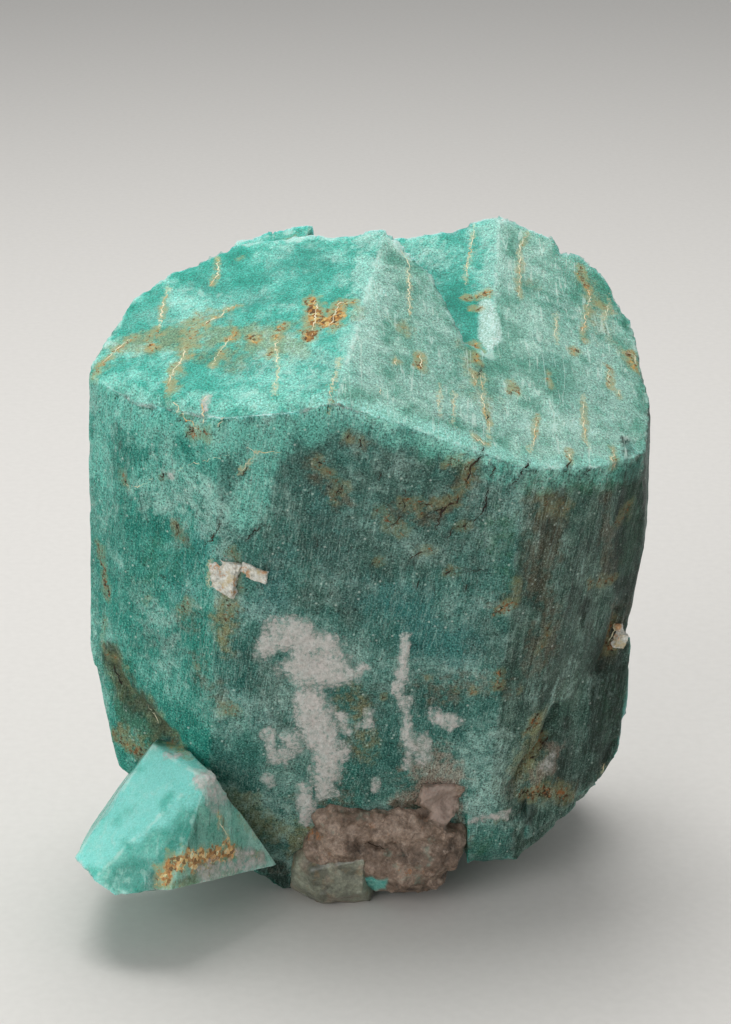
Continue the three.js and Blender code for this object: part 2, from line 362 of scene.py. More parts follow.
bodyCrystals = {
    "main": (bodyHeart, mainCrystal), "rear": (bodyHeart, rearCrystal), "notch": (bodyHeart, notchCrystal),
    "sliver": (sliverHeart, sliverCrystal), "bulge": (bulgeHeart, bulgeCrystal),
    "foot": (footHeart, footCrystal), "behind": (backHeart, backCrystal)}
# width in mm of the small faces that each piece is given
cells = {"body": 0.55, "side": 0.28, "rock": 0.34, "quartz": 0.3, "pale": 0.16}


def makeBody():
    crystals = [cutCrystal(name, *crystal) for name, crystal in bodyCrystals.items()]
    body = fuse("amazonite_body", crystals + [cutCrystal("slab", *slab) for slab in backSlabs])
    combine(body, addChunk("corner", *brokenCorner), "DIFFERENCE")
    standOnFloor(body)
    refine(body, cells["body"])
    mendTouching(body)
    soften(body)
    return body


def makeSideCrystal():
    crystal = cutCrystal("amazonite_side", sideHeart, sideCrystal, block=90)
    refine(crystal, cells["side"])
    mendTouching(crystal)
    soften(crystal)
    return crystal


# middle, half sizes, roughness, seed and blockiness of each mass and pit; middle, size and turns of
# each chunk
rockLumps = [((-1.4, -8, 11), (7.1, 7.7, 5.7), 0.14, 3, 3.4), ((5.4, -8.2, 9.2), (7, 8.0, 7.8), 0.16, 5, 3.4),
             ((10, -8.4, 12), (3.9, 7.6, 6.4), 0.14, 8, 4),
             ((-5, 23, 13), (13.6, 7.2, 12.8), 0.2, 9, 2.6), ((-21, 20, 19), (8.8, 6.8, 9.8), 0.22, 12, 2.6),
             ((10, 18, 7), (11, 9.5, 9), 0.2, 15, 2.4)]
rockChunks = [((10.4, -12.8, 17.2), (6.2, 5.6, 5.8), (10, 7, 10)), ((3, 26.5, 25), (9, 6, 8), (34, 28, 14)),
              ((-14, 26, 9), (9, 6, 6), (-26, 18, 30))]
rockPits = [((7.2, -15.8, 15.6), (3.2, 1.8, 0.9), 0.2, 0), ((13, -14.8, 13.6), (1.8, 2.2, 1.3), 0.2, 1),
            ((2.6, -16, 10.4), (2.8, 1.2, 0.8), 0.2, 2)]
quartzHeart = (-4.4, -7.8, 5.5)
quartzFaces = {
    "front": (-4, -10, 7.4), "frontLeft": (-44, -8, 7.2), "left": (-80, 4, 5.9), "lowLeft": (-46, -40, 6.9),
    "low": (6, -48, 7.3), "top": (-24, 48, 6.0), "topLeft": (-76, 40, 5.6), "right": (70, -4, 6.8),
    "back": (180, 0, 8), "rest": (0, -90, 5.5)}


def makeRock():
    lumps = [addLump("lump", *lump) for lump in rockLumps]
    rock = fuse("matrix_rock", lumps + [addChunk("chunk", *chunk) for chunk in rockChunks])
    for pit in rockPits:
        combine(rock, addLump("pit", *pit), "DIFFERENCE")
    standOnFloor(rock)
    remesh(rock, cells["rock"])
    return rock


def makeQuartz():
    quartz = cutCrystal("quartz_lump", quartzHeart, quartzFaces, block=40)
    remesh(quartz, cells["quartz"])
    soften(quartz)
    return quartz


body = makeBody()
side = makeSideCrystal()
rock = makeRock()
quartz = makeQuartz()
stonePieces = [body, side, rock, quartz]
for piece in stonePieces:
    print("shaped", piece.name, len(piece.data.polygons), "faces")


# places on the stone

class Skin:
    # the surfaces of several pieces, to find places on them
    def __init__(self, pieces):
        graph = bpy.context.evaluated_depsgraph_get()
        self.trees = [BVHTree.FromObject(piece, graph) for piece in pieces]

    def seen(self, px, py):
        # where the line of sight through a place in the picture first meets the stone, in mm
        hits = [tree.ray_cast(cameraEye, aimThrough(px, py)) for tree in self.trees]
        hits = [hit for hit in hits if hit[0] is not None]
        if not hits:
            return None
        return np.array(min(hits, key=lambda hit: hit[3])[0]) / mm

    def nearest(self, place):
        # the nearest place on the surface to a place in mm, and the way the surface faces there
        found = [tree.find_nearest(Vector(place) * mm) for tree in self.trees]
        spot, normal = min(found, key=lambda hit: hit[3])[:2]
        return np.array(spot) / mm, np.array(normal)

    def route(self, places):
        spots = [self.seen(px, py) for px, py in places]
        return [spot for spot in spots if spot is not None]


skin = Skin(stonePieces)

# a chip of fresh stone in the rock, and milky growth faces: their corners in the camera's picture
straightZones = {
    "chip": [[(360, 881), (371, 876), (388, 878), (386, 888), (368, 891)]],
    "milk": [[(478, 302), (488, 298), (499, 305), (501, 321), (507, 335), (488, 352), (479, 339)],
             [(192, 768), (208, 769), (222, 790), (226, 806), (208, 800), (200, 790)]]}
# zones of colour and growth: strength, reach in mm, and places in the picture along the middle line
zones = {
    # painted light: a lighter band where light gathers along the front edges of the roof
    "glow": [
        (0.65, 2.6, (128, 394), (186, 402), (240, 406), (310, 400), (335, 394)),
        (0.9, 2.2, (335, 400), (400, 418), (450, 436), (480, 447), (525, 462)),
        (0.7, 1.8, (525, 464), (600, 462), (640, 448)), (0.5, 5.0, (240, 400), (290, 392)),
        (0.45, 4.0, (296, 362), (340, 374)), (0.35, 4.0, (342, 254), (362, 284)),
        (0.35, 4.0, (436, 246), (464, 264)), (1.1, 5.2, (170, 778), (138, 814), (106, 842)),
        (0.9, 5.0, (150, 764), (118, 800), (96, 836)), (0.8, 2.4, (188, 776), (194, 796))],
    # painted light: the same lighter band, weaker, in the tops of the front faces
    "shine": [
        (1.0, 4.0, (108, 398), (150, 420), (200, 430), (262, 432), (320, 420)),
        (0.9, 3.0, (250, 440), (262, 480), (240, 520)), (0.8, 2.6, (345, 412), (400, 432), (455, 452)),
        (0.8, 2.4, (500, 468), (560, 478), (640, 470)), (0.5, 4.0, (150, 480), (180, 460)),
        (0.8, 3.0, (102, 420), (100, 500))],
    # bluer stone
    "blue": [
        (0.9, 5.5, (370, 596), (410, 610), (450, 640)), (0.6, 4.0, (320, 500), (330, 560)),
        (0.6, 4.5, (282, 560), (262, 600)), (0.5, 4.0, (236, 690), (262, 720)),
        (0.5, 5.0, (200, 560), (180, 590))],
    # deep blue-green colour
    "deep": [
        (0.8, 3.0, (118, 392), (122, 425), (118, 470)), (0.9, 2.6, (120, 505), (124, 540), (130, 585)),
        (0.6, 6.0, (288, 262), (328, 260)), (0.6, 4.0, (196, 288), (230, 296)),
        (0.6, 4.5, (318, 362), (330, 382)), (0.7, 4.0, (232, 312), (262, 300)),
        (0.8, 5.0, (206, 640), (200, 700)), (0.6, 5.0, (250, 480), (262, 520)),
        (0.5, 6.0, (388, 604), (440, 636)), (0.4, 3.0, (596, 690), (590, 740)),
        (1.0, 2.2, (192, 824), (176, 844), (158, 868)), (0.9, 2.2, (108, 884), (140, 888)),
        (0.9, 2.4, (118, 872), (148, 868)), (0.7, 3.2, (222, 354), (262, 368)),
        (0.4, 4.0, (138, 322), (165, 314)), (0.8, 2.2, (108, 518), (108, 566)),
        (0.6, 1.8, (96, 426), (94, 480), (94, 530)), (0.8, 3.6, (484, 842), (540, 838)),
        (0.5, 5.0, (545, 330), (560, 380)), (0.5, 6.0, (300, 770), (370, 790)),
        (0.6, 4.0, (240, 700), (250, 760))],
    # milky, paler stone
    "pale": [
        (0.8, 4.5, (378, 240), (374, 300), (356, 372)), (0.9, 3.2, (497, 222), (493, 290)),
        (0.7, 6.0, (600, 320), (612, 400), (570, 440)), (0.5, 6.0, (420, 300), (450, 380)),
        (0.5, 6.0, (520, 270), (560, 300)), (0.7, 5.0, (420, 390), (520, 430)),
        (0.55, 6.0, (478, 745), (488, 795)), (0.7, 4.5, (150, 505), (196, 498), (230, 520)),
        (0.3, 1.6, (96, 410), (92, 480), (90, 560), (93, 620), (106, 690)),
        (0.5, 4.0, (142, 600), (170, 640)), (0.4, 3.5, (225, 786), (250, 812)),
        (0.7, 2.2, (216, 796), (226, 808)), (0.5, 3.6, (426, 250), (438, 290)),
        (0.4, 4.0, (430, 676), (470, 684)), (1.0, 2.6, (430, 794), (444, 800), (446, 814))],
    # smoky, dark stone where the front is thick and clear, and painted shade that darkens the front and the
    # far right side
    "smoke_and_shade": [
        (0.8, 8.0, (330, 472), (380, 486), (440, 484)), (0.8, 7.0, (318, 520), (330, 560), (430, 552)),
        (0.7, 6.0, (480, 505), (470, 556)), (1.0, 4.2, (548, 506), (562, 522)),
        (0.9, 5.0, (528, 560), (520, 604)), (0.7, 6.0, (570, 560), (560, 660), (540, 690)),
        (0.9, 2.6, (628, 510), (624, 560), (618, 610)), (0.6, 5.0, (290, 470), (270, 560)),
        (0.6, 6.0, (250, 660), (300, 760)), (0.6, 5.0, (380, 700), (440, 690)),
        (0.7, 4.0, (586, 620), (606, 700), (598, 760)), (0.5, 5.0, (350, 790), (390, 780)),
        (1.0, 4.0, (622, 670), (620, 710), (612, 750)), (0.9, 2.6, (642, 470), (640, 520), (636, 580)),
        (0.8, 3.0, (560, 780), (590, 770)), (0.5, 4.0, (150, 640), (196, 672)),
        (0.5, 3.0, (480, 846), (530, 842)), (0.9, 2.8, (112, 656), (120, 690), (140, 720), (160, 740)),
        (0.7, 4.0, (486, 628), (510, 660)), (0.9, 4.0, (316, 590), (346, 612)),
        (1.0, 2.2, (158, 886), (186, 880), (212, 874)), (0.5, 4.0, (586, 610), (596, 640))],
    # painted shade: darker on the far right side, in the clefts and grooves and where pieces meet
    "painted_shade": [
        (1.0, 5.0, (634, 490), (634, 540), (628, 600)), (1.0, 2.2, (622, 490), (620, 590)),
        (1.0, 5.0, (624, 660), (620, 712), (606, 760)), (0.6, 2.4, (556, 500), (548, 540)),
        (0.5, 2.2, (556, 716), (540, 748)), (0.6, 2.0, (610, 620), (604, 650)),
        (0.5, 2.4, (590, 784), (566, 800)), (0.9, 2.6, (266, 874), (284, 884)),
        (0.6, 3.0, (608, 700), (600, 748)), (0.9, 1.4, (396, 808), (414, 806), (426, 806)),
        (0.75, 2.6, (110, 655), (122, 685), (146, 714), (168, 740)),
        (0.9, 4.4, (612, 652), (610, 700), (598, 745)), (0.5, 2.4, (586, 606), (594, 650)),
        (1.0, 1.2, (524, 796), (530, 816)), (0.6, 3.0, (560, 736), (566, 770))],
    # crests worn round
    "worn": [
        (1.0, 3.2, (128, 398), (190, 406), (250, 410), (300, 405)), (0.6, 2.4, (330, 400), (350, 402))],
    # green and brown, where the clear stone is stained inside
    "green": [
        (0.9, 2.6, (530, 482), (590, 486), (640, 474)), (0.9, 2.4, (634, 480), (630, 560)),
        (0.5, 3.0, (500, 520), (512, 600)), (0.6, 2.4, (420, 448), (470, 464)),
        (0.4, 3.0, (480, 850), (540, 846)), (0.9, 3.4, (112, 656), (120, 690), (140, 720), (160, 740)),
        (0.4, 4.0, (160, 548), (150, 574)), (0.5, 3.0, (620, 690), (606, 740))],
    "brown": [
        (1.0, 4.0, (550, 496), (546, 540), (536, 590)), (0.8, 2.4, (604, 500), (606, 570)),
        (0.7, 2.0, (444, 506), (400, 512)), (0.6, 2.0, (470, 470), (455, 500)),
        (0.6, 2.4, (318, 466), (345, 500)), (0.6, 2.0, (350, 438), (362, 446)),
        (0.7, 2.0, (452, 462), (470, 468)), (0.6, 2.4, (500, 606), (520, 590)),
        (0.7, 3.2, (552, 610), (540, 660)), (0.8, 2.8, (548, 716), (530, 760), (516, 790)),
        (0.8, 2.6, (616, 610), (612, 650)), (0.7, 2.4, (526, 790), (570, 796)),
        (0.7, 2.6, (604, 770), (596, 790)), (0.5, 2.4, (226, 590), (228, 650)),
        (0.5, 2.0, (192, 604), (188, 620)), (0.5, 2.4, (200, 660), (232, 712)),
        (0.6, 2.0, (176, 526), (180, 540)), (0.8, 2.0, (192, 428), (206, 434)),
        (0.7, 2.4, (120, 740), (142, 756)), (0.6, 3.0, (250, 820), (300, 846)),
        (0.5, 3.0, (350, 700), (360, 750)), (0.5, 3.0, (430, 690), (500, 690)),
        (0.5, 3.4, (300, 800), (330, 806)), (0.9, 1.3, (457, 806), (462, 830), (462, 850)),
        (0.9, 1.5, (396, 806), (414, 805), (426, 805))],
    # olive, where iron has seeped into the stone
    "olive": [
        (0.9, 3.6, (136, 345), (180, 336), (230, 334), (280, 330)), (0.7, 2.8, (300, 325), (345, 312)),
        (0.5, 2.0, (110, 352), (96, 372)), (0.5, 3.0, (592, 290), (600, 330), (632, 360)),
        (0.9, 3.4, (236, 806), (262, 824), (300, 838)),
        (0.8, 2.2, (112, 655), (122, 685), (146, 710), (172, 736)), (0.5, 2.2, (530, 284)),
        (0.45, 2.4, (348, 694), (356, 712)), (0.45, 2.0, (368, 740), (372, 760)), (0.6, 2.6, (400, 326)),
        (0.6, 1.8, (204, 318), (188, 342), (176, 372), (170, 398)), (0.6, 2.2, (224, 600), (226, 650)),
        (0.5, 3.0, (300, 870), (340, 886)), (0.5, 2.4, (150, 346), (172, 340)),
        (0.7, 3.0, (540, 720), (528, 756), (540, 790)), (0.6, 4.0, (225, 350), (285, 352)),
        (0.6, 2.6, (470, 352), (478, 376)), (0.6, 2.4, (130, 742), (150, 752)),
        (0.9, 1.6, (166, 884), (200, 880), (236, 870)), (0.7, 1.0, (246, 856), (262, 854)),
        (1.0, 2.8, (262, 342), (298, 350)), (1.0, 1.4, (206, 859), (240, 853)),
        (0.4, 3.0, (470, 394), (492, 402)), (0.8, 2.0, (228, 344), (250, 350))],
    # iron stain: rusty where it is strong, straw yellow where it thins out
    "iron": [
        (1.3, 1.3, (313, 298), (316, 314), (312, 330), (308, 339)),
        (1.4, 1.6, (320, 322), (330, 322), (336, 314)), (0.9, 1.0, (354, 302), (340, 302), (334, 316)),
        (0.8, 1.0, (330, 330), (336, 326)), (0.9, 1.2, (252, 338), (259, 338)),
        (0.8, 1.0, (280, 326), (277, 340)), (0.7, 0.9, (274, 350), (270, 356)),
        (0.8, 1.0, (234, 332), (228, 341)), (0.5, 0.9, (222, 350), (213, 364)),
        (0.95, 1.2, (149, 347), (156, 345)), (0.6, 1.6, (158, 330), (150, 338)),
        (0.7, 0.9, (133, 338), (120, 347), (102, 363), (93, 380)),
        (0.55, 1.8, (200, 316), (192, 334), (184, 352)), (0.45, 1.4, (176, 366), (170, 390)),
        (0.6, 1.0, (204, 325), (220, 315), (236, 306)), (0.5, 0.8, (166, 298), (161, 318)),
        (0.8, 1.4, (192, 430), (204, 434)), (0.5, 0.8, (178, 412), (192, 425)), (0.4, 0.9, (242, 258)),
        (0.5, 0.8, (303, 239)), (0.35, 1.2, (292, 238)), (0.5, 0.7, (216, 256), (218, 272), (211, 286)),
        (0.5, 0.6, (331, 396)), (0.5, 0.5, (315, 393)),
        # roof on the right
        (0.9, 0.9, (466, 299), (476, 297), (488, 293)), (0.8, 0.8, (471, 309), (483, 307)),
        (0.9, 1.1, (474, 346), (476, 360)), (0.6, 0.8, (474, 372), (474, 384)),
        (0.8, 1.0, (580, 266), (583, 280), (589, 292)), (0.5, 0.9, (589, 304), (585, 322), (583, 340)),
        (0.8, 1.0, (575, 351)), (0.5, 1.5, (594, 300), (606, 308)), (0.9, 1.3, (630, 356), (634, 366)),
        (0.7, 0.8, (609, 368), (610, 386)), (0.6, 0.6, (619, 394)), (0.5, 0.6, (584, 404), (585, 440)),
        (0.55, 0.7, (537, 416), (535, 436)), (0.6, 0.8, (569, 450), (571, 460)),
        (0.6, 0.9, (613, 450), (615, 466)), (0.75, 1.1, (420, 356), (421, 368)), (0.6, 0.8, (397, 362)),
        (0.8, 1.1, (512, 384), (513, 392)), (0.65, 0.9, (549, 374), (550, 384)), (0.45, 1.6, (401, 328)),
        (0.5, 0.6, (484, 400), (489, 424)), (0.8, 0.8, (474, 437), (486, 443)),
        (0.4, 0.9, (519, 264), (519, 296)), (0.45, 0.7, (528, 234), (519, 250)),
        # front
        (0.8, 1.1, (98, 545), (104, 570), (106, 596)), (0.5, 0.8, (104, 610), (104, 650)),
        (0.75, 1.0, (123, 474), (125, 482)), (0.5, 0.9, (163, 476)), (0.6, 0.8, (175, 525), (179, 537)),
        (0.7, 1.1, (188, 604), (184, 612)), (0.6, 0.8, (151, 595), (146, 602)),
        (0.7, 1.1, (236, 566), (238, 584)), (0.6, 1.1, (227, 600), (224, 640)), (0.8, 0.9, (197, 666)),
        (0.6, 1.5, (221, 708), (232, 712)), (0.6, 1.2, (232, 553)), (0.5, 0.9, (106, 654), (112, 660)),
        (0.7, 0.6, (126, 669)), (0.85, 1.4, (120, 738), (138, 752)), (0.5, 1.3, (190, 758), (170, 744)),
        (0.7, 1.4, (452, 461)), (0.6, 1.0, (472, 465), (464, 488), (444, 508)),
        (0.55, 1.2, (403, 503), (434, 505), (451, 503)), (0.5, 1.2, (379, 511), (391, 525), (404, 532)),
        (0.5, 1.0, (349, 436), (360, 442)), (0.6, 1.0, (320, 464), (343, 486), (335, 500)),
        (0.55, 0.9, (472, 524), (458, 527)), (0.6, 1.0, (420, 552), (430, 552)),
        (0.6, 0.9, (379, 562), (383, 556)), (0.5, 0.8, (444, 575), (456, 569)), (0.5, 0.6, (506, 552)),
        (0.85, 0.9, (496, 612), (508, 606), (514, 603)), (0.8, 1.0, (590, 582), (604, 582), (614, 578)),
        (0.5, 1.4, (518, 586)), (0.6, 1.6, (628, 505), (622, 520)), (0.45, 2.2, (545, 506), (568, 510)),
        (0.9, 1.0, (616, 620), (610, 640), (612, 652)), (0.75, 0.7, (384, 697)), (0.75, 0.7, (428, 677)),
        (0.6, 0.5, (442, 702)), (0.7, 0.7, (457, 691)), (0.7, 0.7, (473, 690)),
        (0.8, 0.9, (498, 672), (497, 688)), (0.6, 0.7, (520, 690)), (0.6, 0.8, (548, 630), (538, 650)),
        (0.8, 1.2, (538, 718), (530, 730)), (0.8, 1.1, (546, 740), (532, 760)),
        (0.9, 1.8, (526, 792), (548, 790), (566, 796)), (0.7, 1.6, (606, 772), (602, 784)),
        (0.5, 1.0, (507, 812), (498, 816)),
        # side crystal and the foot
        (1.3, 1.9, (166, 874), (184, 862), (206, 858), (230, 854)), (0.6, 0.8, (250, 854), (262, 858)),
        (0.5, 0.5, (218, 812), (228, 834), (230, 846)), (0.6, 1.0, (156, 888), (164, 882)),
        (0.6, 1.4, (310, 830), (316, 838)), (0.3, 1.6, (402, 870), (424, 876)),
        (0.4, 0.8, (240, 816), (256, 838))],
    # white sugary albite
    "albite": [
        (1.0, 2.8, (280, 641), (300, 637), (322, 643)), (1.0, 3.6, (304, 662), (322, 670)),
        (0.8, 1.8, (338, 668), (354, 676)), (1.0, 2.4, (312, 700), (318, 730), (326, 756)),
        (0.9, 1.9, (328, 770), (322, 790)), (0.9, 1.3, (308, 786), (304, 818)),
        (0.8, 1.1, (268, 735), (274, 760)), (0.6, 1.7, (292, 738), (286, 756)),
        (0.9, 0.9, (405, 638), (403, 664), (398, 692)), (0.7, 0.9, (404, 700), (408, 735), (408, 764)),
        (0.8, 1.3, (438, 715), (456, 722)), (0.7, 0.8, (370, 712), (368, 724)), (0.6, 0.6, (358, 726)),
        (0.6, 0.6, (378, 780), (376, 790)), (0.6, 0.7, (267, 776), (269, 784)),
        (0.6, 0.9, (344, 716), (348, 730)), (0.5, 1.4, (420, 740), (424, 760)), (0.7, 0.9, (174, 476)),
        (0.8, 0.9, (166, 754), (176, 756)), (0.9, 1.6, (203, 776), (216, 790)),
        (0.6, 1.6, (204, 872), (236, 866), (262, 862)), (0.7, 0.8, (238, 853), (252, 851)),
        (0.8, 0.7, (470, 822), (496, 815), (510, 811)), (0.7, 0.6, (206, 396), (203, 406)),
        (0.4, 1.2, (550, 756), (546, 768)), (0.4, 2.0, (222, 792), (214, 800))],
    # pinkish brown rock colour, also where the stone next to it is clear and shows it
    "pink": [
        (1.0, 5.0, (330, 828), (380, 830), (440, 830)), (1.0, 4.2, (420, 800), (440, 786)),
        (0.7, 3.4, (418, 772), (440, 766)), (0.7, 3.0, (440, 860), (400, 872)),
        (0.45, 2.2, (330, 772), (330, 790)), (0.4, 2.0, (316, 690), (314, 706)),
        (0.6, 1.5, (272, 868), (296, 884)), (1.0, 1.7, (552, 752), (548, 766), (536, 780)),
        (0.5, 3.0, (414, 742), (440, 752))],
}


# how far in mm a stroke may lie off the piece that it marks; between which shares of its reach it fades;
# how much its border wanders, and by bumps of which size in mm, on a fine stroke and on a wide one; from
# which reach it is wide; how far in mm a straight zone reaches from its middle, and half the width of its
# border in pixels
brush = {"off": 0.8, "fade": (0.1, 1.35), "wander": 0.75, "fine": 1.5, "wide": 4, "wideFrom": 2,
         "seed": 40, "stretch": (1, 1, 1.5), "straightReach": 9, "border": 1.5}


def paint(pieces, name, strokes):
    # writes how strongly a zone shows at each point, 0 to 1, as an attribute of the mesh
    routes = [(strength, reach, skin.route(places)) for strength, reach, *places in strokes]
    for piece in pieces:
        points = pointsOf(piece)
        wander = {size: roughness(points, brush[size], brush["seed"] + brush[size], 4, brush["stretch"])
                  for size in ("fine", "wide")}
        shown = np.zeros(len(points))
        for strength, reach, route in routes:
            away = nearRoute(points, route)
            if away.min() < brush["off"]:
                size = "fine" if reach < brush["wideFrom"] else "wide"
                near = away / reach + brush["wander"] * wander[size]
                shown = np.maximum(shown, strength * (1 - smoothStep(near, *brush["fade"])))
        addLayer(piece, name, shown)


def paintStraight(pieces, name, shapes):
    # the same for zones with straight sides
    for piece in pieces:
        points = pointsOf(piece)
        spots = picturePlaces(points)
        shown = np.zeros(len(points))
        for corners in shapes:
            centre = skin.seen(*np.mean(corners, axis=0))
            inside = np.full(len(points), np.inf)
            for start, end in zip(corners, corners[1:] + corners[:1]):
                side = np.array(end) - start
                inward = np.array([-side[1], side[0]]) / np.hypot(*side)
                inside = np.minimum(inside, (spots - start) @ inward)
            near = np.linalg.norm(points - centre, axis=1) < brush["straightReach"]
            shown = np.maximum(shown, smoothStep(inside, -brush["border"], brush["border"]) * near)
        addLayer(piece, name, shown)


for zone, strokes in zones.items():
    paint(stonePieces, zone, strokes)
for zone, shapes in straightZones.items():
    paintStraight(stonePieces, zone, shapes)
print("zones painted")


# weathering

def edgeDistance(piece, points):
    # mm from each point to the nearest edge where two faces meet outwards
    shape = bmesh.new()
    shape.from_mesh(piece.data)
    onEdge = sorted({corner.index for edge in shape.edges
                     if len(edge.link_faces) == 2 and edge.calc_face_angle_signed(0) > weather["sharp"]
                     for corner in edge.verts})
    shape.free()
    tree = KDTree(max(len(onEdge), 1))
    for n, index in enumerate(onEdge):
        tree.insert(points[index], n)
    tree.balance()
    return np.array([tree.find(point)[2] for point in points.tolist()])


# the worn line above the side crystal, the cleft at the lower right and lesser ones: width and depth in
# mm, places in the picture
grooves = [(1.5, 0.9, (112, 656), (116, 674), (128, 694), (146, 710), (164, 728), (174, 738)),
           (2.0, 1.3, (556, 712), (544, 744), (528, 763), (514, 786)),
           (1.5, 1.0, (618, 612), (612, 640), (602, 668)), (1.2, 0.6, (617, 742), (606, 762), (600, 784)),
           (0.8, 0.5, (471, 824), (498, 817), (516, 808))]
# depths and reaches in mm, and the most that a point may move out; the values of the reliefs between which
# the losses and the crust set in; how much calmer the roof is, more ribbed the ribbed side (a range of x),
# and less turned what looks away; then the angle in radians from which an edge is sharp, and the ranges of
# the normals between which a face comes to count as roof, as back and as turned away
weather = {
    "chip": 0.4, "chipFrom": (0.12, 0.5), "chipReach": 1.4, "nick": 0.22, "nickFrom": (0.1, 0.6),
    "nickReach": 0.7, "crust": 0.25, "crustFrom": (0.45, 0.8), "worn": 1.3, "wornReach": 4,
    "cleavage": 0.55, "rockLedge": 0.45, "edgeReach": 0.7, "roofRise": 12, "roofCalm": 0.4,
    "ribbedSide": (20, 32), "ribbedMore": 0.9, "awayLess": 0.55, "most": 0.6, "rockMost": 0.5,
    "sharp": 0.16, "roof": (0.45, 0.8), "back": (0.2, 0.6), "away": (-0.2, 0.05)}


def markFaces(piece, points, edge, roofFrom):
    # keeps which way the faces look, for the material: what looks up counts as roof from roofFrom mm up
    normals = rowsOf(piece, "normal")
    roof = smoothStep(normals[:, 2], *weather["roof"])
    roof *= smoothStep(points[:, 2], roofFrom, roofFrom + weather["roofRise"])
    back = smoothStep(normals[:, 1], *weather["back"])
    away = smoothStep(normals[:, 1], *weather["away"])
    layers = {"edge": fading(edge, weather["edgeReach"]), "roof": roof, "back": back,
              "turned": normals[:, 0] * (1 - weather["awayLess"] * away)}
    for name, values in layers.items():
        addLayer(piece, name, values)
    return roof, back


def weatherCrystal(piece, scale, roofFrom):
    # gives the faces their growth ribs and cleavage steps, and wears and chips the edges
    points = pointsOf(piece)
    edge = edgeDistance(piece, points)
    roof, back = markFaces(piece, points, edge, roofFrom)
    move = relief(points, "wave")
    move += relief(points, "grain") * (1 - weather["roofCalm"] * roof)
    ribbed = 1 + weather["ribbedMore"] * smoothStep(points[:, 0], *weather["ribbedSide"])
    move += relief(points, "rib") * (1 - roof) * ribbed
    move += weather["cleavage"] * stepped(relief(points, "cleavage")) * back
    move -= weather["worn"] * shownOn(piece, "worn") * fading(edge, weather["wornReach"]) ** 1.5
    for loss in ("chip", "nick"):
        lost = smoothStep(relief(points, loss), *weather[loss + "From"])
        move -= weather[loss] * lost * fading(edge, weather[loss + "Reach"])
    crust = shownOn(piece, "albite") + relief(points, "crust")
    move += weather["crust"] * smoothStep(crust, *weather["crustFrom"])
    wander = relief(points, "groove")
    for width, depth, *places in grooves:
        move -= depth * fading(nearRoute(points, skin.route(places)) / width + wander, 1)
    pushOut(piece, points, np.minimum(move, weather["most"]) * scale)


def weatherRock(piece, rough):
    # breaks the faces into lumps, grains and ledges
    points = pointsOf(piece)
    move = relief(points, "rockLump", rough) + relief(points, "rockGrain", rough)
    move += weather["rockLedge"] * rough * stepped(relief(points, "rockLedge"))
    pushOut(piece, points, np.minimum(move, weather["rockMost"]))


weatherCrystal(body, scale=1.0, roofFrom=40)
weatherCrystal(side, scale=0.6, roofFrom=-20)
weatherRock(rock, rough=0.7)
weatherRock(quartz, rough=0.4)
for piece in stonePieces:
    smoothShade(piece, 45)
print("edges chipped, faces weathered")


# veins and cracks

# thin fillings of the cracks: (width in mm, places in the picture)
creamVeins = [
    (0.24, (217, 256), (218, 264), (219, 272), (215, 279), (211, 286)),
    (0.26, (168, 288), (165, 299), (163, 308), (161, 317), (159, 329)),
    (0.2, (134, 337), (127, 342), (120, 347), (111, 355), (101, 364)),
    (0.22, (204, 325), (212, 320), (221, 316), (225, 311), (231, 308), (236, 306)),
    (0.26, (186, 340), (184, 350), (184, 358), (178, 365), (172, 373), (169, 383), (167, 392)),
    (0.2, (172, 395), (178, 412), (186, 418), (193, 425), (200, 430)),
    (0.2, (233, 332), (227, 342), (219, 353), (215, 360), (212, 366)),
    (0.24, (281, 325), (277, 338), (276, 347), (278, 359), (278, 372), (276, 382), (275, 395)),
    (0.24, (314, 299), (317, 312), (313, 328), (309, 338)),
    (0.2, (351, 302), (340, 302), (334, 314), (329, 329)),
    (0.2, (340, 357), (338, 368), (334, 379), (331, 395), (329, 413)),
    (0.18, (206, 396), (203, 404), (204, 416), (203, 424), (205, 431)), (0.16, (223, 418), (220, 427)),
    (0.18, (400, 246), (408, 262), (409, 280), (410, 306), (409, 320)),
    (0.18, (474, 225), (472, 240), (470, 253), (467, 264), (466, 276), (467, 289)),
    (0.24, (529, 232), (524, 240), (519, 249), (520, 262), (520, 270), (519, 285), (520, 301)),
    (0.22, (584, 282), (590, 294), (589, 305), (585, 321), (583, 334), (583, 341)),
    (0.18, (612, 291), (609, 303), (605, 314), (603, 325)), (0.16, (557, 312), (556, 328), (557, 342)),
    (0.22, (609, 368), (608, 376), (610, 387)), (0.16, (619, 390), (620, 397)),
    (0.2, (583, 396), (583, 410), (584, 421), (584, 432), (585, 440), (591, 449)),
    (0.22, (538, 415), (536, 426), (535, 437), (531, 450)), (0.22, (569, 450), (571, 461)),
    (0.24, (614, 450), (612, 459), (615, 467)), (0.16, (474, 372), (474, 385)),
    (0.2, (482, 374), (482, 386), (482, 398), (485, 413), (490, 423), (489, 438)),
    (0.3, (472, 434), (475, 439), (481, 441), (487, 444)), (0.16, (420, 353), (422, 368)),
    (0.16, (396, 357), (395, 364)), (0.14, (440, 385), (439, 400), (440, 415)),
    (0.14, (455, 392), (453, 410), (452, 424)), (0.12, (378, 384), (381, 396)),
    (0.14, (626, 352), (634, 356), (636, 364)), (0.18, (616, 622), (612, 634), (608, 646)),
    (0.14, (606, 762), (602, 772), (600, 782)), (0.2, (218, 812), (220, 824), (228, 835), (230, 845)),
    (0.14, (210, 560), (208, 580), (211, 588)), (0.12, (146, 704), (156, 716), (158, 724)),
    (0.16, (240, 470), (250, 462), (256, 452)), (0.09, (176, 472), (190, 464), (210, 460), (236, 452)),
    (0.12, (124, 484), (140, 486), (156, 478)), (0.12, (246, 448), (262, 454), (280, 452)),
]
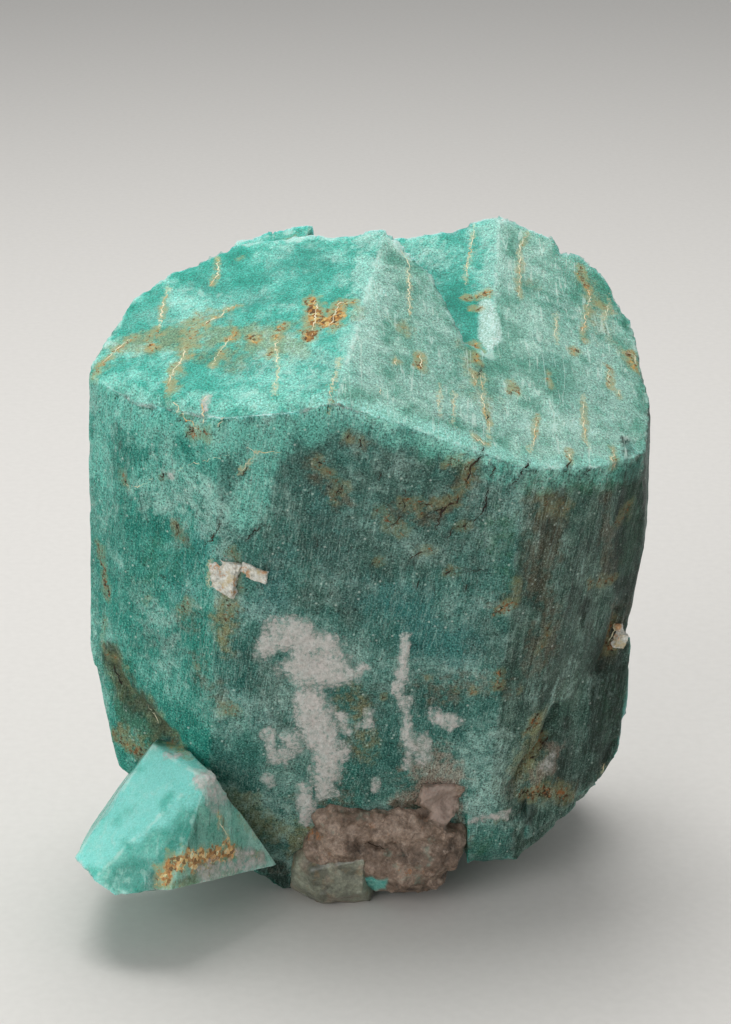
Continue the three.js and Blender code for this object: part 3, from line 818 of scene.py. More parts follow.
# open cracks, drawn as dark lines of soil and painted shade: (width in mm, places in the picture)
darkCracks = [
    (0.24, (484, 448), (481, 456), (473, 464), (469, 474), (466, 484)),
    (0.26, (461, 495), (456, 503), (444, 508), (440, 516), (437, 524), (434, 531)),
    (0.16, (496, 457), (494, 468), (491, 478)),
    (0.18, (488, 487), (486, 500), (484, 511), (478, 518), (472, 525)),
    (0.16, (470, 520), (462, 528), (455, 527)), (0.24, (530, 462), (525, 468), (520, 476)),
    (0.16, (516, 481), (511, 486)), (0.2, (572, 460), (568, 466), (564, 472)),
    (0.14, (537, 469), (534, 473)), (0.14, (590, 467), (588, 472)),
    (0.18, (424, 518), (430, 512), (440, 508), (452, 503)), (0.14, (403, 500), (404, 506), (402, 512)),
    (0.16, (390, 526), (396, 522), (402, 514)), (0.14, (416, 503), (424, 505), (434, 504)),
    (0.16, (406, 490), (404, 497)), (0.2, (410, 561), (415, 556), (421, 553), (430, 551)),
    (0.2, (444, 576), (449, 571), (458, 569)), (0.12, (462, 571), (474, 570), (486, 572)),
    (0.16, (434, 590), (436, 595)), (0.14, (416, 588), (418, 580)), (0.18, (349, 432), (347, 438)),
    (0.2, (361, 438), (359, 447)), (0.14, (341, 406), (341, 414)), (0.12, (352, 408), (352, 416)),
    (0.18, (318, 462), (322, 465)), (0.16, (343, 484), (339, 490), (336, 498)),
    (0.14, (380, 472), (378, 480)), (0.12, (318, 540), (316, 548)),
    (0.22, (219, 525), (216, 533), (211, 539), (204, 545)), (0.14, (219, 519), (219, 525)),
    (0.2, (262, 525), (255, 531), (250, 534), (246, 540)), (0.18, (247, 468), (242, 474), (238, 478)),
    (0.2, (161, 478), (165, 474)), (0.16, (186, 438), (188, 433), (194, 428)),
    (0.14, (180, 419), (178, 422)), (0.14, (219, 426), (224, 419)), (0.14, (122, 440), (120, 448)),
    (0.18, (176, 524), (178, 534)), (0.12, (160, 575), (166, 577)), (0.2, (258, 586), (262, 588)),
    (0.16, (548, 628), (545, 636), (541, 642)), (0.2, (537, 716), (533, 722), (530, 728)),
    (0.26, (547, 737), (543, 744), (539, 750)), (0.2, (536, 754), (531, 759)),
    (0.14, (496, 612), (493, 615)), (0.14, (526, 790), (520, 796)), (0.16, (606, 764), (603, 776)),
    (0.14, (362, 843), (370, 843), (378, 846), (384, 849)), (0.2, (114, 664), (119, 678), (124, 688)),
    (0.14, (478, 376), (482, 366)), (0.12, (372, 566), (376, 560)), (0.12, (465, 590), (468, 584)),
    (0.12, (448, 536), (452, 530)), (0.12, (486, 420), (488, 414)), (0.12, (326, 412), (328, 404)),
]


# mm between the points along a filling, how unevenly wide it is, the width in mm up to which the stone
# beside it stays unstained, and the strength and reach in mm of the soil and painted shade beside cracks
# and of the stain beside fillings
veinShape = {"spacing": 0.35, "uneven": (0.35, 1.3), "clean": 0.13, "soil_and_shade": (1.0, 0.7), "straw": (0.9, 0.7)}


def layVeins(name, veins, wander, sink, swell):
    # tapered fillings that follow the surface and stray by up to wander mm, sunk in by a share of their
    # width, and swollen because the finest would not show
    bpy.ops.object.select_all(action="DESELECT")
    bpy.ops.curve.primitive_bezier_curve_add()
    curve = bpy.context.object
    curve.name = name
    shape = curve.data
    shape.splines.clear()
    shape.dimensions = "3D"
    shape.bevel_depth = 1.0   # so that a point's radius is its real one
    shape.bevel_resolution = 0
    shape.use_fill_caps = True
    for width, *places in veins:
        route = skin.route(places)
        if len(route) < 2:
            continue
        spots = []
        for start, end in zip(route, route[1:]):
            count = max(2, round(np.linalg.norm(end - start) / veinShape["spacing"]))
            spots += [start + (end - start) * n / count for n in range(count)]
        spots.append(route[-1])
        line = shape.splines.new("POLY")
        line.points.add(len(spots) - 1)
        for n, spot in enumerate(spots):
            stray = np.array([dice.uniform(-wander, wander) for _ in range(3)])
            place, out = skin.nearest(spot + stray)
            place = (place - out * sink * width * swell) * mm
            taper = math.sin(math.pi * (n + 0.6) / (len(spots) + 0.2)) ** 0.5
            line.points[n].co = (*place, 1)
            line.points[n].radius = width * swell / 2 * mm * taper * dice.uniform(*veinShape["uneven"])
    onlySelect(curve)
    bpy.ops.object.convert(target="MESH")
    bpy.ops.object.mode_set(mode="EDIT")
    bpy.ops.mesh.select_all(action="SELECT")
    bpy.ops.mesh.remove_doubles(threshold=2e-6)
    bpy.ops.mesh.normals_make_consistent(inside=False)
    bpy.ops.object.mode_set(mode="OBJECT")
    return bpy.context.object


soiled_and_shaded = [(*veinShape["soil_and_shade"], *places) for width, *places in darkCracks]
seeped = [(*veinShape["straw"], *places) for width, *places in creamVeins if width > veinShape["clean"]]
paint([body, side], "soil_and_shade", soiled_and_shaded)
paint([body, side], "straw", seeped)
skin = Skin(stonePieces)
veins = layVeins("cream_veins", creamVeins, wander=0.26, sink=0.15, swell=1.15)
cracks = layVeins("dark_cracks", darkCracks, wander=0.22, sink=0.15, swell=1.45)
print("veins laid", len(veins.data.polygons), "cracks laid", len(cracks.data.polygons))


# pale crystals in the pockets

# blocks of each group: place in the picture, how far out it sits in mm, size in mm, turns in degrees
paleGroups = {
    "pale_crystal_left": [((226, 576), -0.75, (3.4, 2.4, 4.6), (2, 9, -30)),
                          ((218, 570), -0.7, (2.4, 2.2, 2.6), (-4, -12, -26)),
                          ((236, 570), -0.7, (1.8, 2.2, 2.4), (5, 16, -30)),
                          ((229, 590), -0.8, (2.2, 2.2, 1.6), (-3, 22, -30))],
    "pale_crystal_right": [((257, 574), -0.4, (3.0, 1.8, 1.7), (4, 12, -16)),
                           ((248, 570), -0.5, (1.8, 1.8, 1.5), (-4, 22, -20))],
    "pale_crystal_edge": [((620, 638), -0.3, (1.8, 2.0, 2.2), (10, 20, 30)),
                          ((618, 630), -0.4, (1.0, 1.6, 1.8), (0, -20, 40))]}


def paleSpot(px, py, lift):
    place, out = skin.nearest(skin.seen(px, py))
    return tuple(place + out * lift)


def growPale(name, blocks, bevel=0.25):
    # small blocky feldspars, rough and slightly rounded
    chunks = [addChunk("block", paleSpot(*spot, lift), size, turns) for spot, lift, size, turns in blocks]
    grown = fuse(name, chunks)
    applyModifier(grown, "BEVEL", width=bevel * mm, segments=1, limit_method="ANGLE", angle_limit=0.5)
    remesh(grown, cells["pale"])
    points = pointsOf(grown)
    pushOut(grown, points, relief(points, "paleBump") + relief(points, "paleGrain"))
    smoothShade(grown, 30)
    return grown


paleCrystals = [growPale(name, blocks) for name, blocks in paleGroups.items()]
print("pale crystals grown")


# materials: each pattern's size is a real one in mm

def linear(colour):
    # an sRGB hex colour as the linear values that the shader takes
    parts = [int(colour[n:n + 2], 16) / 255 for n in (1, 3, 5)]
    return [v / 12.92 if v <= 0.04045 else ((v + 0.055) / 1.055) ** 2.4 for v in parts] + [1]


def addNode(tree, kind, links=None, stops=None, out=0, **settings):
    # adds a node, sets it, and fills its sockets with values, colours or other nodes' outputs
    node = tree.nodes.new("ShaderNode" + kind)
    for name, value in settings.items():
        setattr(node, name, value)
    for place, colour in stops or []:
        ramp = node.color_ramp.elements
        stop = ramp[0] if place == 0 else ramp[-1] if place == 1 else ramp.new(place)
        stop.color = linear(colour)
    for socket, source in (links or {}).items():
        if isinstance(source, bpy.types.NodeSocket):
            tree.links.new(source, node.inputs[socket])
        else:
            node.inputs[socket].default_value = linear(source) if isinstance(source, str) else source
    return node.outputs[out]


def startMaterial(name, shine):
    # a new material, the way to add nodes to it, and the place on the piece in mm
    material = bpy.data.materials.new(name)
    material.use_nodes = True
    for socket, value in shine.items():
        material.node_tree.nodes["Principled BSDF"].inputs[socket].default_value = value
    add = partial(addNode, material.node_tree)
    place = add("TexCoord", out="Object")
    return material, add, add("VectorMath", {0: place, 3: 1 / mm}, operation="SCALE")


def shades(add, value, colours, low, high):
    # colours spread evenly over an uneven value
    spread = add("MapRange", {"Value": value, "From Min": low, "From Max": high})
    last = len(colours) - 1
    return add("ValToRGB", {0: spread}, stops=[(n / last, colour) for n, colour in enumerate(colours)])


def scattered(add, place, size, shift, low, high, top=1.0, detail=5.0, rough=0.7):
    # how much of scattered blots shows: about size mm wide, none of them below low, all above high
    moved = add("VectorMath", {0: place, 1: (shift, shift, shift)}, operation="ADD")
    blots = add("TexNoise", {"Vector": moved, "Scale": 1 / size, "Detail": detail, "Roughness": rough})
    return add("MapRange", {"Value": blots, "From Min": low, "From Max": high, "To Max": top},
               interpolation_type="SMOOTHSTEP")


def tornZone(add, zone, border, tear, low, high, top=1.0):
    # how much of a painted zone shows, its border torn by an uneven value
    torn = add("Math", {0: border, 1: tear, 2: zone}, operation="MULTIPLY_ADD")
    shown = add("MapRange", {"Value": torn, "From Min": low + tear / 2, "From Max": high + tear / 2,
                             "To Max": top}, interpolation_type="SMOOTHSTEP")
    inside = add("MapRange", {"Value": zone, "From Min": 0.02, "From Max": 0.28},
                 interpolation_type="SMOOTHSTEP")
    return add("Math", {0: shown, 1: inside}, operation="MULTIPLY")


def layOver(add, colour, layers):
    # lays colours over the first one by one; each shows by the product of its amounts
    for blend, top, *amounts in layers:
        share = amounts[0]
        for amount in amounts[1:]:
            share = add("Math", {0: share, 1: amount}, operation="MULTIPLY")
        colour = add("Mix", {0: share, 6: colour, 7: top}, out=2, data_type="RGBA", blend_type=blend)
    return colour


def finishMaterial(material, add, colour, height, strength, depth, matt=None):
    # gives the shader its colour, relief depth mm deep and, where it is uneven, its roughness
    shader = material.node_tree.nodes["Principled BSDF"]
    bump = add("Bump", {"Height": height, "Strength": strength, "Distance": depth * mm})
    sources = {"Base Color": colour, "Normal": bump, "Roughness": matt}
    for socket, source in sources.items():
        if source:
            material.node_tree.links.new(source, shader.inputs[socket])
    return material


# amazonite, a blue-green microcline: waxy and slightly see-through, with thin white lamellae inside,
# satin where the faces are weathered
amazonite = {
    "shine": {"IOR": 1.53, "Specular IOR Level": 0.14, "Subsurface Weight": 0.6,
              "Subsurface Radius": (0.3, 1.0, 0.9), "Subsurface Scale": 0.004},
    # sizes: clouds, curdling, torn borders, crumbs, grain, specks and sugary crust; width, depth and
    # height of the lamellae, ribs and cleavage threads, and how far they lean, in degrees. Grain and
    # specks are drawn coarser than real, so that they show
    "cloud": 9, "curdle": 2.4, "torn": 1.3, "crumb": 0.5, "grain": 0.24, "speck": 1.1, "sugar": 0.9,
    "lamella": (0.22, 0.5, 2.4), "rib": (0.6, 1.2, 15), "thread": (1.5, 18, 18),
    "lean": {"lamella": 11, "rib": 8, "thread": -3},
    "streaky": 0.4, "salty": 0.9, "calm": 1.0, "bump": 0.22, "gloss": (0.32, 0.52), "dull": 0.82,
    # colours of the faces that look up to the left, up to the right, left, ahead, right, far right: the roof
    # is paler and frosted, and the other faces are painted darker the further they turn to the right, as
    # painted shade
    "roofLeft": ("#1c8b79", "#44a191", "#80c4b6"), "roofRight": ("#4a8976", "#6da08f", "#9ec5b6"),
    "left": ("#0f7264", "#2d8a7b", "#70b0a2"), "front": ("#285d55", "#43756b", "#7c9f95"),
    "right": ("#204137", "#385649", "#647c6e"), "flank": ("#13342d", "#22473d", "#3f6557"),
    "glow": "#93cbbd", "rust": ("#a98f6c", "#9c6f47", "#80502f", "#573722", "#2b1f17"),
    # colours of what is laid over them
    "veil": "#a9cfc4", "lit": "#aacbc0", "unlit": "#173f37", "ribLit": "#93ada0", "ribDark": "#1c2f27",
    "milky": "#b7d8cc", "salt": "#a9c0b4", "pepper": "#10201a", "craze": "#b9d2c6", "crack": "#14221c",
    "bright": "#cfded3", "dim": "#17221c", "depth": "#1b2a22", "cleavage": "#cde2d6", "rubbed": "#c3dcd2"}
# the small crystal at the side is fresh: clearer, glossier, with less grain
sideAmazonite = {
    **amazonite, "shine": {**amazonite["shine"], "Specular IOR Level": 0.25},
    "streaky": 0.2, "salty": 0.3, "calm": 0.25, "gloss": (0.22, 0.4), "glow": "#8edad1",
    # its faces are painted in lighter tones than the large crystal's, the right and far right faces lightest:
    # painted light
    "roofLeft": ("#3fa090", "#55b0a0", "#74c3b6"), "roofRight": ("#3f8a79", "#589b8a", "#7db5a5"),
    "left": ("#44a594", "#5cb5a6", "#80cabd"), "front": ("#3a8f7e", "#529c8b", "#75b3a3"),
    "right": ("#5fac99", "#85c2b1", "#b7e0d2"), "flank": ("#539c89", "#75b2a1", "#9accbb"),
    "rust": ("#f8edc8", "#edd096", "#dba86b", "#b58450", "#87623d")}
# zones: colour, share at full strength, how torn the border is, and by which pattern; the painted glow,
# a painted light, takes the colour that its crystal has for it
zoneLooks = {"pale": ("#a6c8bd", 0.55, 2.4, "torn"), "deep": ("#0f7263", 0.55, 2.0, "curdle"),
             "blue": ("#3a7676", 0.4, 2.0, "curdle"), "smoke_and_shade": ("#3a4a41", 0.55, 2.2, "torn"),
             "painted_shade": ("#1b2c22", 0.8, 2.2, "curdle"), "green": ("#2c6a4c", 0.65, 2.2, "torn"),
             "brown": ("#5d4f39", 0.62, 2.8, "torn"), "olive": ("#83855c", 0.6, 2.4, "torn"),
             "pink": ("#8e7768", 0.75, 2.4, "torn"), "shine": ("#6ab8a8", 0.72, 2.2, "torn"),
             "glow": ("glow", 0.75, 1.6, "torn"), "milk": ("#b1cec4", 0.85, 0.4, "torn")}
stains = {"halo": "#9a9b6c", "roof": ("#dacb98", "#c7a462", "#ab783d", "#7e5127", "#4e341e"),
          "soil_and_shade": "#191911", "straw": "#c8c49c", "dust": "#8b9d94"}
crustColours = ("#a29f9a", "#b9b5af", "#c9c5c0", "#dad6d1")
grainGreys = ("#484848", "#a2a2a2", "#d2d2d2", "#ffffff")


def makeAmazonite(name, looks):
    material, add, place = startMaterial(name, looks["shine"])
    layer = {key: add("Attribute", out="Fac", attribute_name=key)
             for key in ("roof", "back", "turned", "edge", "soil_and_shade", "straw", "iron", "albite", *zoneLooks)}
    roof, back, turned, iron, albite = [layer[key] for key in ("roof", "back", "turned", "iron", "albite")]
    # the same place in cells that are drawn out along the crystal and lean with its growth
    lamellae, ribs, threads = [
        add("Mapping", {"Vector": place, "Rotation": (0, math.radians(lean), 0), "Scale": looks[key]},
            vector_type="TEXTURE") for key, lean in looks["lean"].items()]
    noises = {}
    for key, where, size, detail, rough, twist in (
            ("cloud", place, looks["cloud"], 3, 0.6, 0.6), ("curdle", place, looks["curdle"], 4, 0.62, 0),
            ("torn", place, looks["torn"], 4, 0.7, 0), ("crumb", place, looks["crumb"], 4, 0.75, 0),
            ("grain", place, looks["grain"], 3, 0.7, 0), ("streak", lamellae, 1, 3, 0.6, 0.2),
            ("rib", ribs, 1, 3, 0.6, 0), ("veil", lamellae, 5, 4, 0.66, 1.6),
            ("thread", threads, 1, 2, 0.5, 0)):
        noises[key] = add("TexNoise", {"Vector": where, "Scale": 1 / size, "Detail": detail,
                                       "Roughness": rough, "Distortion": twist})
    # amounts: how much of each pattern shows, from its value and where it starts and is full
    shown = {}
    for key, value, low, high, top in (
            ("ahead", turned, -0.55, -0.1, 1), ("toRight", turned, 0.1, 0.6, 1),
            ("farRight", turned, 0.62, 0.9, 1), ("roofRight", turned, -0.1, 0.25, 1),
            ("front", roof, 0.9, 0.1, 1), ("weak", roof, -0.4, 1, 0.6), ("haloed", roof, -1, 1, 1),
            ("lit", noises["streak"], 0.52, 0.74, looks["streaky"]),
            ("unlit", noises["streak"], 0.48, 0.3, 0.7 * looks["streaky"]),
            ("ribLit", noises["rib"], 0.5, 0.75, 0.3), ("ribDark", noises["rib"], 0.48, 0.28, 0.55),
            ("ribbed", turned, 0.05, 0.5, 1), ("veil", noises["veil"], 0.5, 0.7, 0.5),
            ("curdled", noises["curdle"], 0.42, 0.6, 1), ("clear", noises["cloud"], 0.4, 0.68, 1),
            ("salted", noises["grain"], 0.55, 0.7, 0.44 * looks["salty"]),
            ("peppered", noises["grain"], 0.45, 0.31, 0.72 * looks["salty"]),
            ("rubbed", layer["edge"], 0.2, 1.0, 0.8), ("seeped", iron, 0.0, 0.25, 1)):
        shown[key] = add("MapRange", {"Value": value, "From Min": low, "From Max": high, "To Max": top},
                         interpolation_type="SMOOTHSTEP")

    shade = add("Mix", {0: 0.45, 2: noises["cloud"], 3: noises["curdle"]})
    tones = {face: shades(add, shade, looks[face], 0.37, 0.63)
             for face in ("roofLeft", "roofRight", "left", "front", "right", "flank")}
    # painted light and shade: each face takes the tones for the way it looks, over the roof's real paler
    # colour
    above = layOver(add, tones["roofLeft"], [("MIX", tones["roofRight"], shown["roofRight"])])
    colour = layOver(add, tones["left"], [
        ("MIX", tones["front"], shown["ahead"]), ("MIX", tones["right"], shown["toRight"]),
        ("MIX", tones["flank"], shown["farRight"]), ("MIX", above, roof)])
    zoned = {}
    for zone, (tint, share, tear, border) in zoneLooks.items():
        zoned[zone] = tornZone(add, layer[zone], noises[border], tear * looks["calm"], 0.1, 0.95, share)
        colour = layOver(add, colour, [("MIX", looks.get(tint, tint), zoned[zone])])
    # thin lines where an uneven value passes its middle: cleavage threads, crazing and hairline cracks
    cleaved, crazed, cracked = [
        add("Math", {0: noises[key], 1: middle, 2: width}, operation="COMPARE")
        for key, middle, width in (("thread", 0.5, 0.014), ("rib", 0.52, 0.014), ("torn", 0.41, 0.014))]
    patches = scattered(add, place, 12, 40, 0.3, 0.62, 1, 2)
    # specks: a dot in some cells, pale or dark
    specks = add("TexVoronoi", {"Vector": place, "Scale": 1 / looks["speck"], "Randomness": 1.0})
    dots = add("MapRange", {"Value": specks, "From Min": 0.2, "From Max": 0.08})
    bright, dim = [add("MapRange", {"Value": specks.node.outputs["Color"], "From Min": low, "From Max": high})
                   for low, high in ((0.52, 0.62), (0.46, 0.36))]
    # veils and thin white lamellae inside, ribs on the faces to the right, and grain like salt and pepper
    colour = layOver(add, colour, [
        ("MIX", looks["veil"], shown["veil"], shown["clear"]),
        ("MIX", looks["lit"], shown["lit"], patches, shown["front"]),
        ("MIX", looks["unlit"], shown["unlit"], shown["front"]),
        ("MIX", looks["ribLit"], shown["ribLit"], shown["ribbed"], shown["front"]),
        ("MIX", looks["ribDark"], shown["ribDark"], shown["ribbed"], shown["front"]),
        ("OVERLAY", shades(add, noises["grain"], grainGreys, 0.3, 0.7), 0.9 * looks["salty"]),
        ("MIX", looks["milky"], scattered(add, place, 1.4, 31, 0.5, 0.68, 0.4, 4, 0.65), shown["clear"]),
        ("MIX", looks["salt"], shown["salted"], shown["front"]),
        ("MIX", looks["pepper"], shown["peppered"], shown["front"]),
        ("MIX", looks["craze"], crazed, patches, shown["front"], 0.5 * looks["streaky"]),
        ("MIX", looks["crack"], cracked, shown["clear"], shown["front"], 1.2 * looks["streaky"]),
        ("MIX", looks["bright"], dots, bright, shown["front"], 1.3 * looks["streaky"]),
        ("MIX", looks["dim"], dots, dim, shown["front"], 1.5 * looks["streaky"]),
        # painted shade: the darkest colour laid once more over the shaded zone
        ("MIX", looks["depth"], zoned["painted_shade"], 0.75),
        ("MIX", looks["cleavage"], cleaved, 1.1 * looks["streaky"], roof, shown["roofRight"],
         shown["curdled"]),
        ("MIX", looks["rubbed"], shown["rubbed"], shown["curdled"], shown["weak"])])
    # soil and painted shade in and around the cracks, straw yellow beside the pale veins
    colour = layOver(add, colour, [
        ("MIX", stains["soil_and_shade"], tornZone(add, layer["soil_and_shade"], noises["crumb"], 3.4, 0.5, 1.2, 0.5)),
        ("MIX", stains["straw"], tornZone(add, layer["straw"], noises["crumb"], 3.4, 0.45, 1.2, 0.55))])
    # iron stain: a faint halo, then crumbs of cream, ochre and rust with dark cores
    behind = add("Math", {0: scattered(add, place, 7, 13, 0.55, 0.7, 0.8, 3), 1: back}, operation="MULTIPLY")
    strength = add("Math", {0: iron, 1: behind}, operation="MAXIMUM")
    wide = add("Math", {0: strength, 1: 0.5}, operation="POWER")
    halo = tornZone(add, wide, noises["torn"], 2.2, 0.1, 1.1, 0.7)
    rust = tornZone(add, strength, noises["crumb"], 4.0, 0.6, 1.1, 0.92)
    crumbs = add("TexVoronoi", {"Vector": place, "Scale": 1 / looks["crumb"], "Randomness": 1.0}, out="Color")
    kind = add("Mix", {0: 0.5, 2: crumbs, 3: noises["crumb"]})
    rusty = layOver(add, shades(add, kind, looks["rust"], 0.25, 0.68),
                    [("MIX", shades(add, kind, stains["roof"], 0.25, 0.68), roof)])
    # sugary white albite crust, thin at its borders
    sugar = add("TexNoise", {"Vector": place, "Scale": 1 / looks["sugar"], "Detail": 4, "Roughness": 0.85})
    crust = tornZone(add, albite, sugar, 4.2, 0.0, 1.0, 0.9)
    dusty = tornZone(add, albite, noises["torn"], 1.6, -0.1, 0.6, 0.5)
    colour = layOver(add, colour, [
        ("MIX", stains["halo"], halo, shown["seeped"], shown["haloed"]), ("MIX", rusty, rust),
        ("MIX", stains["dust"], dusty),
        ("MIX", shades(add, noises["crumb"], crustColours, 0.3, 0.7), crust)])
    # clear stone is glossy or satin; crust and rust are dull
    low, high = looks["gloss"]
    satin = add("MapRange", {"Value": noises["curdle"], "From Min": 0.3, "From Max": 0.7,
                             "To Min": low, "To Max": high})
    matt = add("Mix", {0: add("Math", {0: crust, 1: rust}, operation="MAXIMUM"), 2: satin, 3: looks["dull"]})
    height = add("Math", {0: noises["streak"], 1: 1.1, 2: noises["grain"]}, operation="MULTIPLY_ADD")
    height = add("Math", {0: height, 1: looks["salty"], 2: noises["crumb"]}, operation="MULTIPLY_ADD")
    height = add("Math", {0: albite, 1: 1.5, 2: height}, operation="MULTIPLY_ADD")
    return finishMaterial(material, add, colour, height, 0.5, looks["bump"], matt)


# the lump of rock under the crystals: feldspar and quartz stained pinkish brown, greasy and broken
matrixRock = {"shine": {"IOR": 1.53, "Roughness": 0.6, "Subsurface Weight": 0.2,
                        "Subsurface Radius": (1, 0.6, 0.5), "Subsurface Scale": 0.003},
              "blotch": 3.4, "lump": 0.8, "fine": 0.4, "grain": 0.5, "bump": 0.4,
              "colours": ("#392e24", "#5f4e40", "#7e6a5a", "#9f8b7b", "#756252"),
              "rust": "#99643a", "green": "#6c9484", "pale": "#a8958a", "chip": ("#3fa295", "#8fd0c4"),
              "cream": "#bba897", "hollow_shade": "#3b2f24"}
rockGreys = ("#4a4a4a", "#969696", "#bebebe", "#f0f0f0")


def makeMatrixRock():
    looks = matrixRock
    material, add, place = startMaterial("matrix_rock", looks["shine"])
    blotch, lump, fine = [
        add("TexNoise", {"Vector": place, "Scale": 1 / looks[key], "Detail": 5, "Roughness": 0.7,
                         "Distortion": 0.4}) for key in ("blotch", "lump", "fine")]
    grains = add("TexVoronoi", {"Vector": place, "Scale": 1 / looks["grain"]})
    iron, chip, pale = [add("Attribute", out="Fac", attribute_name=key) for key in ("iron", "chip", "pale")]
    colour = layOver(add, shades(add, blotch, looks["colours"], 0.3, 0.72), [
        ("OVERLAY", shades(add, fine, rockGreys, 0.28, 0.72), 0.55),
        ("MIX", looks["cream"], scattered(add, place, 1.3, 4, 0.54, 0.72, 0.55)),
        # painted shade: dark blots for the shade in small hollows of the rock
        ("MIX", looks["hollow_shade"], scattered(add, place, 1.6, 9, 0.6, 0.74, 0.6)),
        ("MIX", looks["green"], scattered(add, place, 4, 14, 0.58, 0.7, 0.35)),
        ("MIX", looks["rust"], scattered(add, place, 2.5, 18, 0.61, 0.73, 0.5)),
        ("MIX", looks["pale"], tornZone(add, pale, lump, 1.6, 0.1, 0.9, 0.65)),
        ("MIX", looks["rust"], tornZone(add, iron, lump, 3.5, 0.4, 1.0)),
        ("MIX", shades(add, fine, looks["chip"], 0.4, 0.7), chip, 0.9)])
    height = add("Math", {0: grains, 1: -0.4, 2: lump}, operation="MULTIPLY_ADD")
    return finishMaterial(material, add, colour, height, 0.7, looks["bump"])


# massive quartz: glassy and grey-green, broken in curved flakes
quartzGlass = {"shine": {"IOR": 1.544, "Roughness": 0.32, "Subsurface Weight": 0.25,
                         "Subsurface Radius": (0.8, 1.0, 0.8), "Subsurface Scale": 0.003},
               "colours": ("#44463b", "#6a6c5e", "#8d907f", "#acaf9e"), "stain": "#8a7657",
               "pink": "#8d7868", "flake": 2.6, "bump": 0.4}


def makeQuartzGlass():
    looks = quartzGlass
    material, add, place = startMaterial("massive_quartz", looks["shine"])
    cloud, grain = [add("TexNoise", {"Vector": place, "Scale": 1 / size, "Detail": 5, "Roughness": 0.68,
                                     "Distortion": 0.6}) for size in (4, 0.4)]
    flakes = add("TexVoronoi", {"Vector": place, "Scale": 1 / looks["flake"]}, feature="SMOOTH_F1")
    colour = layOver(add, shades(add, cloud, looks["colours"], 0.3, 0.7), [
        ("MIX", looks["stain"], scattered(add, place, 1.6, 6, 0.52, 0.66, 0.6)),
        ("MIX", looks["pink"], scattered(add, place, 5, 21, 0.5, 0.62, 0.5)),
        ("OVERLAY", shades(add, grain, rockGreys, 0.28, 0.72), 0.5)])
    height = add("Math", {0: grain, 1: 0.3, 2: flakes}, operation="MULTIPLY_ADD")
    return finishMaterial(material, add, colour, height, 0.5, looks["bump"])


# small crystals of white feldspar: chalky, with grey and straw-yellow grains
paleFeldspar = {"shine": {"IOR": 1.53, "Roughness": 0.6, "Subsurface Weight": 0.2,
                          "Subsurface Radius": (1, 0.9, 0.7), "Subsurface Scale": 0.0015},
                "colours": ("#85877c", "#b4b4aa", "#d3d2c8", "#e8e7df"), "grain": 0.6, "bump": 0.3,
                "straw": "#b9a368", "rust": "#b07a45"}


def makePaleFeldspar():
    looks = paleFeldspar
    material, add, place = startMaterial("white_feldspar", looks["shine"])
    grain = add("TexNoise", {"Vector": place, "Scale": 1 / looks["grain"], "Detail": 5, "Roughness": 0.72})
    colour = layOver(add, shades(add, grain, looks["colours"], 0.3, 0.7), [
        ("MIX", looks["straw"], scattered(add, place, 1.6, 6, 0.5, 0.64, 0.6)),
        ("MIX", looks["rust"], scattered(add, place, 1.3, 15, 0.52, 0.62, 0.8))])
    return finishMaterial(material, add, colour, grain, 0.5, looks["bump"])


# crack fillings: chalky cream and straw, rusty in places; open cracks are dark with soil and painted shade.
# Colours, size of the blots in mm, roughness
fillings = {"cream_filling": (("#b5c7a8", "#dcd8b8", "#e6dfbe", "#cfac72"), 4, 0.8),
            "soil_and_shade_in_cracks": (("#12150f", "#1f1a13", "#3a2817", "#16170f"), 3, 0.9)}


def makeFilling(name):
    colours, size, rough = fillings[name]
    material, add, place = startMaterial(name, {"IOR": 1.5, "Roughness": rough})
    blots, grain = [add("TexNoise", {"Vector": place, "Scale": 1 / width, "Detail": 4, "Roughness": 0.65})
                    for width in (size, 0.2)]
    return finishMaterial(material, add, shades(add, blots, colours, 0.34, 0.66), grain, 0.5, 0.1)


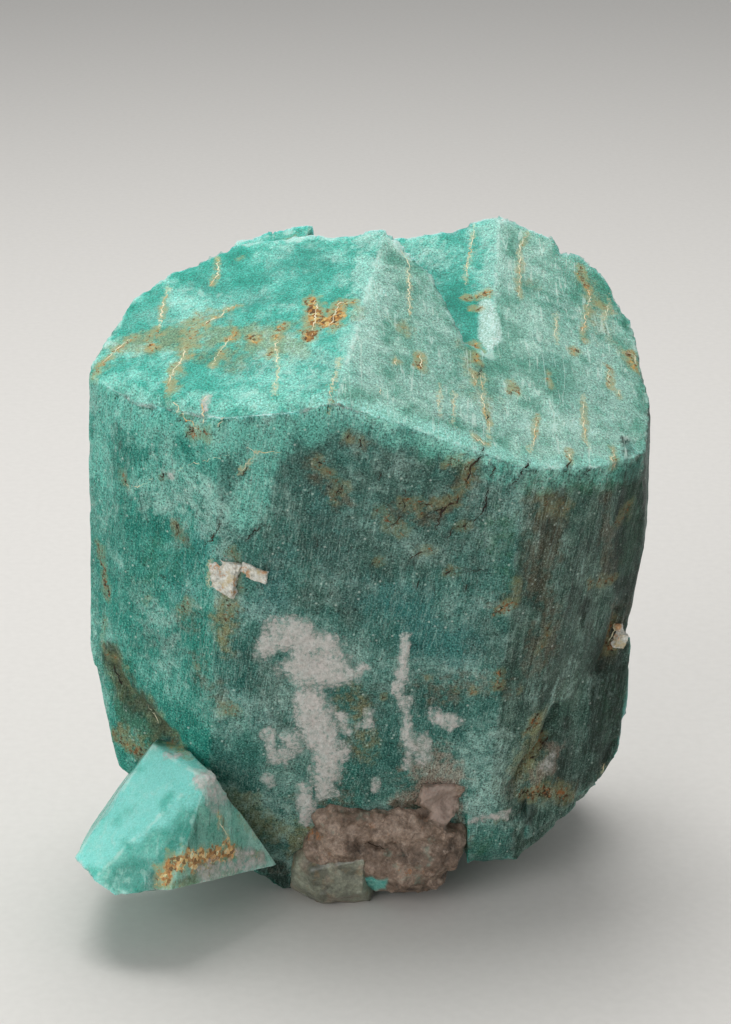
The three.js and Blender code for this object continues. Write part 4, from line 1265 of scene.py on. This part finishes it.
finishes = [(makeAmazonite("amazonite_weathered", amazonite), [body]),
            (makeAmazonite("amazonite_fresh", sideAmazonite), [side]),
            (makeMatrixRock(), [rock]), (makeQuartzGlass(), [quartz]), (makePaleFeldspar(), paleCrystals),
            (makeFilling("cream_filling"), [veins]), (makeFilling("soil_and_shade_in_cracks"), [cracks])]
for material, pieces in finishes:
    for piece in pieces:
        piece.data.materials.clear()
        piece.data.materials.append(material)
print("materials given")


# floor and light

# sizes and places in mm; place, size and watts of the softboxes above and at the front left
studio = {"floor": 6000, "paper": ("#cbc8c3", "#d4d1cc"), "fibre": 1.5, "room": "#eef0f2",
          "roomStrength": 0.45, "aim": (0, 0, 45),
          "softboxes": [((-60, 160, 620), 420, 3.4), ((-400, -540, 260), 500, 2.4)]}


def makeFloor():
    bpy.ops.object.select_all(action="DESELECT")
    bpy.ops.mesh.primitive_plane_add(size=studio["floor"] * mm)
    floor = bpy.context.object
    floor.name = "studio_floor"
    paper, add, place = startMaterial("matt_paper", {"Roughness": 0.9})
    fibre = add("TexNoise", {"Vector": place, "Scale": 1 / studio["fibre"], "Detail": 4})
    finishMaterial(paper, add, shades(add, fibre, studio["paper"], 0, 1), fibre, 0.1, 0.05)
    floor.data.materials.append(paper)
    return floor


def addSoftbox(place, size, watts):
    spot = Vector(place) * mm
    aim = Vector(studio["aim"]) * mm - spot
    bpy.ops.object.light_add(type="AREA", location=spot, rotation=aim.to_track_quat("-Z", "Y").to_euler())
    light = bpy.context.object.data
    light.size = size * mm
    light.energy = watts


def lightRoom():
    world = bpy.data.worlds.new("grey_room")
    bpy.context.scene.world = world
    world.use_nodes = True
    world.node_tree.nodes["Background"].inputs["Color"].default_value = linear(studio["room"])
    world.node_tree.nodes["Background"].inputs["Strength"].default_value = studio["roomStrength"]


floor = makeFloor()
for softbox in studio["softboxes"]:
    addSoftbox(*softbox)
lightRoom()
bpy.context.scene.view_settings.view_transform = "Standard"
print("floor and lights placed")

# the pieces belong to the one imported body, and stand for its plain solid
for piece in stonePieces + paleCrystals + [veins, cracks]:
    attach(piece, "root")
    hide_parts("rough_amazonite")
